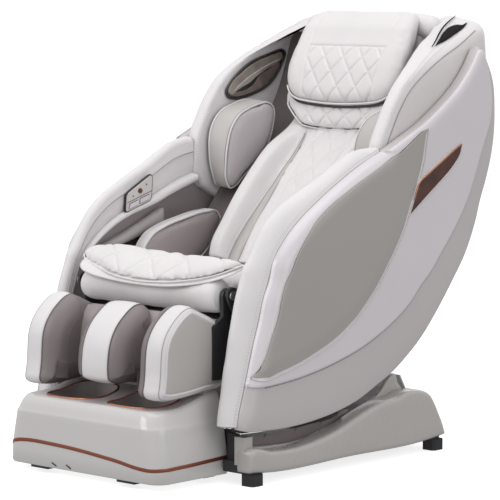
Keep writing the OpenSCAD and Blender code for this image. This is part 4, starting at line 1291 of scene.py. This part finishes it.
pv = plate(po, pil_top, pil_bot, [2, 6, 12, 18, 26], 14)
padded(add("head_pillow_upper", *inflate(pv, 5, 5, last=12, eng=pil_eng), SOFT, "pillow", ("head_pillow",), "leather_light", sharp=0))
pe = [p for p in po]
bot_line = np.array([p for p in po if p[1] > 255])
bot_line = bot_line[np.argsort(bot_line[:, 0])]
y, z = on_line(bot_line[:, 1] + 1, 2)
add("head_pillow_piping", *tube(resample(np.column_stack([bot_line[:, 0], y, z]), step=5), 2.8, 8), WHITE, "pillow", slot="leather_light")
y, z = on_line(bot_line[:, 1] + 5.5, -7)
add("head_pillow_shadow", *tube(resample(np.column_stack([bot_line[:, 0] * .98, y, z]), step=6), 3.6, 6), SHADE, "pillow", slot="leather_light")

# neck flap below the pillow
NLN = curve([(804, 1000), (784, 962), (771, 936), (759, 912), (752, 890), (751, 872), (755, 860)], n=60)
NL_ = np.concatenate([[0], np.cumsum(np.linalg.norm(np.diff(NLN, axis=0), axis=1))])
NT = NL_[-1]


def on_neck(T, d):
    t = unit(np.gradient(NLN, axis=0))
    nn = np.stack([t[:, 1], -t[:, 0]], 1)
    if nn[30, 0] > 0:
        nn = -nn
    return (np.interp(T, NL_, NLN[:, 0]) + d * np.interp(T, NL_, nn[:, 0]),
            np.interp(T, NL_, NLN[:, 1]) + d * np.interp(T, NL_, nn[:, 1]))


no_ = []
for s in np.linspace(-1, 1, 40):
    no_.append((112 * s, NT - 2 * abs(s)**3 * 4))
no_ += [(126, NT - 10), (140, NT - 22), (154, NT - 34), (176, NT - 54), (194, NT - 70), (205, NT - 90), (208, NT - 112), (200, 22), (185, 4)]
no_ += [(x, 0) for x in np.linspace(140, -140, 20)]
no_ += [(-185, 4), (-200, 22), (-208, NT - 112), (-205, NT - 90), (-194, NT - 70), (-176, NT - 54), (-154, NT - 34), (-140, NT - 22), (-126, NT - 10)]
no_ = ccw(resample(np.array(no_, float), step=5, closed=True))
for _ in range(3):
    no_ = (np.roll(no_, 1, 0) + 2 * no_ + np.roll(no_, -1, 0)) / 4


def nk_top(V, D):
    y, z = on_neck(np.clip(V[:, 1], 0, NT), -8 + 8 * np.sqrt(1 - (1 - np.clip(D / 18, 0, 1))**2))
    return np.stack([V[:, 0], y, z], 1)


def nk_bot(V, D):
    y, z = on_neck(np.clip(V[:, 1], 0, NT), -8 - 7 * np.sqrt(1 - (1 - np.clip(D / 14, 0, 1))**2))
    return np.stack([V[:, 0], y, z], 1)


def nk_eng(V, n):
    T, _ = along(V[:, 1:], NLN)
    front = np.clip((-n[:, 1] + n[:, 2] * .4) * 1.6, 0, 1)
    S = V[:, 0]
    sx = np.abs(np.abs(S) - 118)
    q = quilt(S, T - NT + 8, 69, 70, 2.6, 3.2) * np.clip((118 - np.abs(S)) / 8, 0, 1)
    return front * (q + groove(sx, 2.4, 3) * (T < NT - 24))


nv = plate(no_, nk_top, nk_bot, [2, 5, 10, 16], 12)
padded(add("head_pillow_neck", *inflate(nv, 4.5, 3.5, last=12, eng=nk_eng), SOFT, "pillow", ("head_pillow",), "leather_light", sharp=0))
nb_ = np.array([p for p in no_ if p[1] > 20])
k0 = np.argmin(np.where(nb_[:, 0] < 0, nb_[:, 1], 1e9))
order = np.argsort(np.arctan2(nb_[:, 1] - 60, nb_[:, 0]))
nb_ = nb_[order]
nb_ = nb_[np.argsort(nb_[:, 0] + 0 * nb_[:, 1])]
y, z = on_neck(nb_[:, 1] + .8, -5)
npp = np.column_stack([nb_[:, 0] * 1.006, y, z])
add("head_pillow_neck_piping", *tube(resample(npp, step=5), 2.4, 8), WHITE, "pillow", slot="leather_light")
y, z = on_neck(nb_[:, 1] + 4.0, -12)
sh_ = np.column_stack([nb_[:, 0], y, z])[(nb_[:, 1] > NT - 20)]
add("head_pillow_neck_shadow", *tube(resample(sh_, step=6), 3.4, 6), SHADE, "pillow", slot="leather_light")

# ----------------------------------------------------- roll behind the pillow
rb = []
for x in np.linspace(-246, 246, 70):
    s = abs(x) / 246
    k = math.sqrt(max(.02, 1 - max(0, (s - .88) / .12)**2 * .9))
    drop = 14 * max(0, (s - .55) / .45)**1.7
    ring = []
    for a in np.linspace(0, 2 * math.pi, 36, endpoint=False):
        ca, sa = math.cos(a), math.sin(a)
        ring.append((x, 919 + 28 * k * math.copysign(abs(ca)**.85, ca), 1157 - drop + 33.5 * k * math.copysign(abs(sa)**.85, sa)))
    rb.append(ring)
padded(add("head_roll", *lathe(np.array(rb)), WHITE, "back", ("top_bolster",), "leather_light", sharp=60))

# ------------------------------------------------------------- back cushion
BLN = curve([(446, 508), (470, 545), (505, 590), (545, 640), (590, 692), (640, 745), (688, 791), (735, 835), (768, 868), (800, 905),
             (824, 938), (845, 975), (864, 1018), (880, 1060), (892, 1105), (898, 1135)], n=120)
BL_ = np.concatenate([[0], np.cumsum(np.linalg.norm(np.diff(BLN, axis=0), axis=1))])
BT = BL_[-1]
bt = unit(np.gradient(BLN, axis=0))
bn = np.stack([-bt[:, 1], bt[:, 0]], 1)
if bn[60, 0] > 0:
    bn = -bn


def bulge(ax, T):
    """how far the back cushion's skin stands in front of its centre line"""
    g = np.clip((T - 0) / 60, 0, 1)
    fade = 1 / (1 + np.exp((T - 430) / 38.0))
    b = 47 * fade * np.exp(-((ax - 158) / 33.0)**4) * (1 - .35 * (1 - g)**2)
    side = -34 * np.clip((ax - 176) / 24, 0, 1)**2.2
    strip = -4 * np.exp(-((ax - 105) / 14.0)**2) * fade
    belly = 5 * np.cos(np.clip(ax / 90, 0, 1) * math.pi / 2) * fade
    return b + side + strip + belly


def back_pt(x, T, extra=0.0):
    ax = np.abs(x)
    d = bulge(ax, T) + extra
    y = np.interp(T, BL_, BLN[:, 0]) + d * np.interp(T, BL_, bn[:, 0])
    z = np.interp(T, BL_, BLN[:, 1]) + d * np.interp(T, BL_, bn[:, 1])
    return np.stack([x, y, z], -1)


def back_lines(T):
    """half widths at arc length T: centre seam, strip inner, strip outer"""
    t = T / BT
    a = np.interp(T, [0, 120, 260, 400, 520, BT], [62, 58, 56, 72, 78, 80])
    b = np.interp(T, [0, 120, 260, 400, 470, BT], [92, 92, 90, 98, 112, 112])
    c = np.interp(T, [0, 120, 260, 400, 470, BT], [122, 119, 110, 106, 113, 113])
    return a, b, c


def back_skin(x_lo, x_hi, nx, nt, eng=True, t0=0, t1=None):
    rows_ = []
    t1 = BT if t1 is None else t1
    for T in np.linspace(t0, t1, nt):
        a, b, c = back_lines(T)
        lo = x_lo(T)
        hi = x_hi(T)
        x = np.linspace(lo, hi, nx)
        ax = np.abs(x)
        e = np.zeros_like(x)
        if eng:
            e += groove(ax - a, 2.6, 3.2)
            q = quilt(x, np.full_like(x, T - 40), 66, 96, 2.2, 3.0)
            e += q * np.clip((a - ax) / 6, 0, 1) * np.clip((T - 180) / 120, 0, 1)
            for tc_, dp in ((352, 2.6), (300, 1.6), (408, 2.2)):
                w_ = np.clip((ax - a) / 10, 0, 1) * np.clip((c - ax) / 8 + 1.5, 0, 1)
                e += w_ * groove(T - tc_ + .35 * (ax - 90), dp, 4.5)
            e += 1.0 * np.sin(T / 31.0 + x / 40.0) * np.clip((ax - a) / 30, 0, 1)
        p = back_pt(x, T, e)
        rows_.append(p)
    return np.array(rows_)


W_ = 199
for side, sx in (("left", 1), ("right", -1)):
    outer = back_skin(lambda T: sx * back_lines(T)[2], lambda T: sx * W_, 40, 120)
    outer_side = np.array([[outer[i, -1] + np.array([sx * (.5 - .5 * q), *(bn[min(119, int(i))] * -46 * q)]) for q in (.35, .7, 1)]
                           for i in range(len(outer))])
    O_ = np.concatenate([outer, outer_side], axis=1)
    padded(add(f"back_bolster_{side}", *loft(O_, False), SOFT, "back", ("back_pad",), "leather_light", sharp=70, recalc=False))
    st = back_skin(lambda T: sx * back_lines(T)[1], lambda T: sx * back_lines(T)[2], 8, 120, eng=False)
    add(f"back_strip_{side}", *loft(st, False), GREY, "back", ("back_pad",), "leather_light", sharp=70, recalc=False)
    for j, nm in ((1, "in"), (2, "out")):
        T = np.linspace(0, 460, 90)
        L = back_lines(T)[j]
        q = back_pt(sx * L, T, .3)
        add(f"back_seam_{nm}_{side}", *tube(q, 1.1, 6), SEAM_AND_SHADOW_LINE, "back", slot="leather_light")
        add(f"back_stitch_{nm}_{side}", *stitches(back_pt(sx * (L + (5 if j == 2 else -5)), T, .4), 8, 5, .8), THREAD, "back",
            slot="leather_light")
    T = np.linspace(2, 430, 90)
    pe_ = back_pt(np.full(90, sx * 189.0), T, 1.5)
    add(f"back_piping_{side}", *tube(pe_, 2.4, 8), WHITE, "back", slot="leather_light")
mid = back_skin(lambda T: -back_lines(T)[1], lambda T: back_lines(T)[1], 76, 190)
m_o = padded(add("back_centre", *loft(mid, False), SOFT, "back", ("back_pad",), "leather_light", sharp=70, recalc=False))
# the cushion's lower end, rolled in behind the seat
xs = np.linspace(-W_, W_, 61)
rowsb = []
for q in np.linspace(0, 1, 8):
    p = back_pt(xs, 0.0)
    dd = math.sin(q * math.pi / 2)
    p = p + np.stack([np.zeros_like(xs), 42 * (1 - math.cos(q * math.pi / 2)) + 0 * xs, -14 * dd + 0 * xs], 1)
    rowsb.append(p)
padded(add("back_lower_roll", *loft(np.array(rowsb), False), SOFT, "back", ("back_pad",), "leather_light", sharp=0, recalc=False))
# fabric beside the cushion, behind the shoulder pads; its dark colour is partly painted shade for the deep gap there
for side, sx in (("left", 1), ("right", -1)):
    fab = []
    for T in np.linspace(60, BT, 60):
        y0_, z0_ = np.interp(T, BL_, BLN[:, 0]), np.interp(T, BL_, BLN[:, 1])
        n_ = np.array([np.interp(T, BL_, bn[:, 0]), np.interp(T, BL_, bn[:, 1])])
        fab.append([(sx * x, *(np.array([y0_, z0_]) + n_ * d)) for x, d in ((190, -18), (215, -26), (250, -30), (285, -26), (313, -16))])
    add(f"back_side_shade_lining_{side}", *loft(np.array(fab), False), DARKT, "back", slot="leather_taupe", sharp=0, recalc=False)

# ------------------------------------------------------------ shoulder cushions
BAGO = [(553, 800), (553, 832), (566, 874), (594, 905), (650, 928), (712, 938), (748, 930), (756, 905), (742, 870), (700, 820), (660, 770),
        (625, 728), (600, 704), (584, 702), (567, 733), (556, 770)]
BAGI = [(551, 767), (559, 822), (575, 866), (607, 901), (645, 918), (684, 928), (726, 932), (748, 920), (746, 860), (706, 789), (660, 752),
        (624, 728), (590, 702), (569, 697), (553, 719)]
bo_ = curve(BAGO, closed=True, n=120)
bi_ = curve(BAGI, closed=True, n=120)
bo_, bi_ = ccw(bo_), ccw(bi_)
k0 = np.argmin(np.linalg.norm(bi_ - bo_[0], axis=1))
bi_ = np.roll(bi_, -k0, axis=0)
bi_ = resample(bi_, n=120, closed=True)
mx = lambda a: bo_ * (1 - a) + bi_ * a
bagr = [pts3(303, offset(mx(0), 3)), pts3(300, mx(0)), pts3(292, offset(mx(.08), -2.5)), pts3(278, offset(mx(.28), -4)),
        pts3(262, offset(mx(.52), -4)), pts3(248, offset(mx(.76), -3)), pts3(237, offset(mx(.95), -1)), pts3(232, offset(mx(1), 2))]
padded(both("shoulder_pad_band", loft(bagr, True), GREY, "back", ("shoulder_airbags",), "leather_taupe", recalc=False))
bagf = dome_slab(offset(mx(1), 1.0), 230, 246, 7, 4, d0=9, w=38, step=13)
LILAC = mat("leather_lilac", (0.46, 0.425, 0.44), 0.4, coat=0.12, coat_rough=0.28, grain=0.3, kind="leather", grain_scale=620, mottle=0.03, fold=0.05)
padded(both("shoulder_pad", inflate(bagf, 4.5, 5, last=12), LILAC, "back", ("shoulder_airbags",), "leather_taupe", sharp=0))
both("shoulder_piping_a", tube(pts3(299, offset(mx(0), -1.6)), 2.3, 8, closed=True), WHITE, "back", slot="leather_light")
both("shoulder_piping_b", tube(pts3(234.5, offset(mx(1), -.6)), 2.3, 8, closed=True), WHITE, "back", slot="leather_light")
both("shoulder_seam_b", tube(pts3(238.5, offset(mx(.97), -1.8)), 1.2, 6, closed=True), SEAM_AND_SHADOW_LINE, "back", slot="leather_light")

# ------------------------------------------------------------- speaker windows
WIN = [(632, 962), (640, 949), (665, 943), (702, 945), (745, 953), (786, 966), (820, 984), (850, 1010), (872, 1042), (883, 1070), (868, 1078),
       (835, 1073), (800, 1065), (760, 1055), (720, 1040), (683, 1018), (650, 990)]
wo = ccw(curve(WIN, closed=True, step=5))
both("speaker_recess", leanvf(dome_slab(offset(wo, 3), 309.5, 313, 1, 1, step=16,
     f0=lambda V, D: 1.2 * np.exp(-D / 7))), GLOSS, "back", ("speaker_windows",), "black_plastic")
both("speaker_rim", tube(lean(pts3(309.5, wo)), 3.2, 8, closed=True), GLOSS, "back", ("speaker_windows",), "black_plastic")
BRONZE = mat("bronze_mesh", (0.30, 0.255, 0.225), 0.42, metallic=0.35, coat=0.2, grain=0.4, grain_scale=1400, mottle=0.14, mottle_scale=20,
             color2=(0.36, 0.32, 0.29))
UP = [(640, 962), (656, 992), (690, 1014), (724, 1034), (762, 1049), (800, 1059), (838, 1067), (866, 1070), (870, 1058), (850, 1040),
      (810, 1026), (765, 1006), (720, 984), (680, 966), (652, 954)]
both("speaker_band", leanvf(dome_slab(ccw(curve(UP, closed=True, step=5)), 306.4, 311, 2.4, .5, step=12)), BRONZE, "back", slot="black_plastic")
both("speaker_light_arc", tube(lean(pts3(306.6, curve([(664, 966), (700, 990), (745, 1012), (790, 1030), (832, 1044), (856, 1050)], n=40))),
     1.5, 6), SILVER_AND_HIGHLIGHT, "back", slot="black_plastic")
LO = [(650, 953), (668, 949), (702, 951), (745, 959), (786, 972), (818, 990), (846, 1016), (862, 1040), (840, 1034), (806, 1020), (770, 1004),
      (742, 978), (712, 966), (680, 962)]
both("speaker_mesh", leanvf(dome_slab(ccw(curve(LO, closed=True, step=5)), 307.4, 311, 1.6, .5, step=12,
     f0=lambda V, D: .7 * np.sin(V[:, 0] / 6.0 + V[:, 1] / 9.0))), mat("dark_bronze_mesh", (0.10, 0.075, 0.07), 0.45, grain=0.5,
     grain_scale=1400, mottle=0.25, mottle_scale=30, color2=(0.17, 0.135, 0.125)), "back", slot="black_plastic")
CR = [(676, 969), (706, 978), (736, 990), (764, 1010), (780, 1024), (760, 1016), (724, 1000), (696, 985)]
both("speaker_crescent", leanvf(dome_slab(ccw(curve(CR, closed=True, step=4)), 306.2, 310, 1.6, .5, step=9)),
     mat("pale_bronze", (0.42, 0.39, 0.36), 0.3, metallic=0.2, coat=0.4, mottle=0.05), "back", slot="black_plastic")

# --------------------------------------------------------- vents in the wings
VOIDV = mat("vent_black", (0.008, 0.006, 0.007), 0.8, spec=0.2, grain=0.05, mottle=0.05)
VL = curve([(316, 795, 1103), (303, 828, 1120), (286, 865, 1139), (270, 905, 1157), (260, 945, 1173), (254, 975, 1184)], n=40)
vl = tube(VL + [1.5, -1, 2.0], 1.1 + 1.3 * np.sin(np.linspace(0, math.pi, 40)), 7)
vl2 = tube(VL + [-10, 6, -9.0], 1.1 + 1.3 * np.sin(np.linspace(0, math.pi, 40)), 7)
add("wing_vent_line_left", vl[0] + [1.5, -7, -3.5], vl[1], VOIDV, "back", ("vent_grilles",), "black_plastic")
add("wing_vent_line_right", *mirror(vl2, -1), VOIDV, "back", ("vent_grilles",), "black_plastic")
VN = [(316, 816, 1110), (302, 850, 1127), (286, 888, 1144), (282, 920, 1157), (290, 940, 1162), (307, 949, 1161),
      (305, 968, 1169), (314, 940, 1155), (318, 900, 1140), (320, 866, 1127)]
vp = curve(VN, closed=True, corners=(0, 6), n=44)
vr = [vp + [-4, 0, -5], vp + [2.5, 0, 3.0], vp.mean(0) + (vp - vp.mean(0)) * .7 + [3.5, 0, 4.5], vp.mean(0) + (vp - vp.mean(0)) * .2 + [3.5, 0, 4.5]]
vm = loft(np.array(vr), True, False, True)
add("wing_vent_mark_left", vm[0] + [1.5, -12, -5.5], vm[1], VOIDV, "back", ("vent_grilles",), "black_plastic", recalc=False)
add("wing_vent_mark_right", *mirror((vm[0] + [-9, 4, -11], vm[1]), -1), VOIDV, "back", ("vent_grilles",), "black_plastic", recalc=False)

# fore part of the base, under the side shells, with painted shade in the gap under them
BASE_SADDLE_SHADE = mat("base_saddle_painted_shade", (0.20, 0.165, 0.165), 0.45, coat=0.2, grain=0.05, mottle=0.03)
# painted shade: the inner saddle is coloured dark for the shadow under the shell's lower edge
both("base_inner_saddle", slab(np.array([(4, 62), (440, 62), (440, 138), (390, 130), (320, 122), (218, 117), (100, 117), (4, 121)]), 300, 333.5, r=3, step=30),
     BASE_SADDLE_SHADE, "base", slot="base_shell")
# dark plates at the base's front: the black front leg, and painted shade filling the gap beside it
both("base_fore_post_and_shade", slab(np.array([(-14, 36), (3, 36), (3, 129), (-14, 129)]), 300, 332, r=2, step=30), BLACK, "base", slot="base_shell")
both("base_fore_web_and_shade", slab(np.array([(9, 36), (22, 36), (22, 133), (9, 133)]), 264, 300.5, r=2, step=30), BLACK, "base", slot="base_shell")
both("base_front_upright", slab(np.array([(-25, 52), (6, 52), (6, 125), (-25, 125)]), 334, 374, r=3, step=30), BASEM, "base", slot="base_shell")
# painted shade: a dark plate under the shell's fore end, filling the gap with shadow colour
both("shell_fore_shade_plate", slab(np.array([(-8, 132), (110, 129), (110, 158), (-8, 165)]), 308, 350, r=2, step=30), SHADE, "seat", slot="base_shell")


# ------------------------------------------------------ camera, floor, light
cam = bpy.data.cameras.new("camera")
co = bpy.data.objects.new("camera", cam)
bpy.context.scene.collection.objects.link(co)
cam.lens, cam.sensor_width = 201.6, 36
cam.clip_start, cam.clip_end = 0.5, 500
co.location = M([5167.98, -5192.56, 1337.66])
co.rotation_euler = (math.radians(90 - 5.913), 0, math.radians(42.75))
bpy.context.scene.camera = co


def light(name, loc, target, size, power, color=(1, 1, 1), size_y=None):
    d = bpy.data.lights.new(name, "AREA")
    d.energy, d.size, d.color = power, size, color
    if size_y:
        d.shape, d.size_y = "RECTANGLE", size_y
    o = bpy.data.objects.new(name, d)
    bpy.context.scene.collection.objects.link(o)
    o.location = loc
    o.rotation_euler = (Vector(target) - Vector(loc)).to_track_quat("-Z", "Y").to_euler()
    return o


light("key", (-1.6, -4.2, 3.0), (0, 0, .6), 2.6, 62)
light("top", (0.3, -0.4, 4.2), (0, 0, .5), 3.0, 38)
light("side", (4.6, -0.6, 2.0), (0, 0, .6), 2.4, 24)
light("rear", (-1.5, 4.0, 2.6), (0, 0, .7), 2.4, 14)
w = bpy.data.worlds.new("studio")
bpy.context.scene.world = w
w.use_nodes = True
wn, wl = w.node_tree.nodes, w.node_tree.links
bg = wn["Background"]
bg.inputs["Color"].default_value = (1, 1, 1, 1)
tcw = wn.new("ShaderNodeTexCoord")
spw = wn.new("ShaderNodeSeparateXYZ")
mpw = wn.new("ShaderNodeMapRange")
mpw.inputs["From Min"].default_value = -0.35
mpw.inputs["From Max"].default_value = 0.35
mpw.inputs["To Min"].default_value = 0.42
mpw.inputs["To Max"].default_value = 0.8
wl.new(tcw.outputs["Generated"], spw.inputs["Vector"])
wl.new(spw.outputs["Z"], mpw.inputs["Value"])
wl.new(mpw.outputs["Result"], bg.inputs["Strength"])
FLOOR = mat("pale_floor", (0.5, 0.5, 0.5), 0.9, spec=0.0, mottle=0.004, mottle_scale=2, rough_var=0.0)
fb = FLOOR.node_tree.nodes["Principled BSDF"]
fb.inputs["Emission Color"].default_value = (1, 1, 1, 1)
fb.inputs["Emission Strength"].default_value = 0.78
fl = add("floor", [(-200, -200, 0), (200, -200, 0), (200, 200, 0), (-200, 200, 0)], [(0, 1, 2, 3)], FLOOR, mm=False, recalc=False)
fl.visible_diffuse = False
fl.visible_glossy = False
bpy.context.scene.view_settings.view_transform = "Standard"
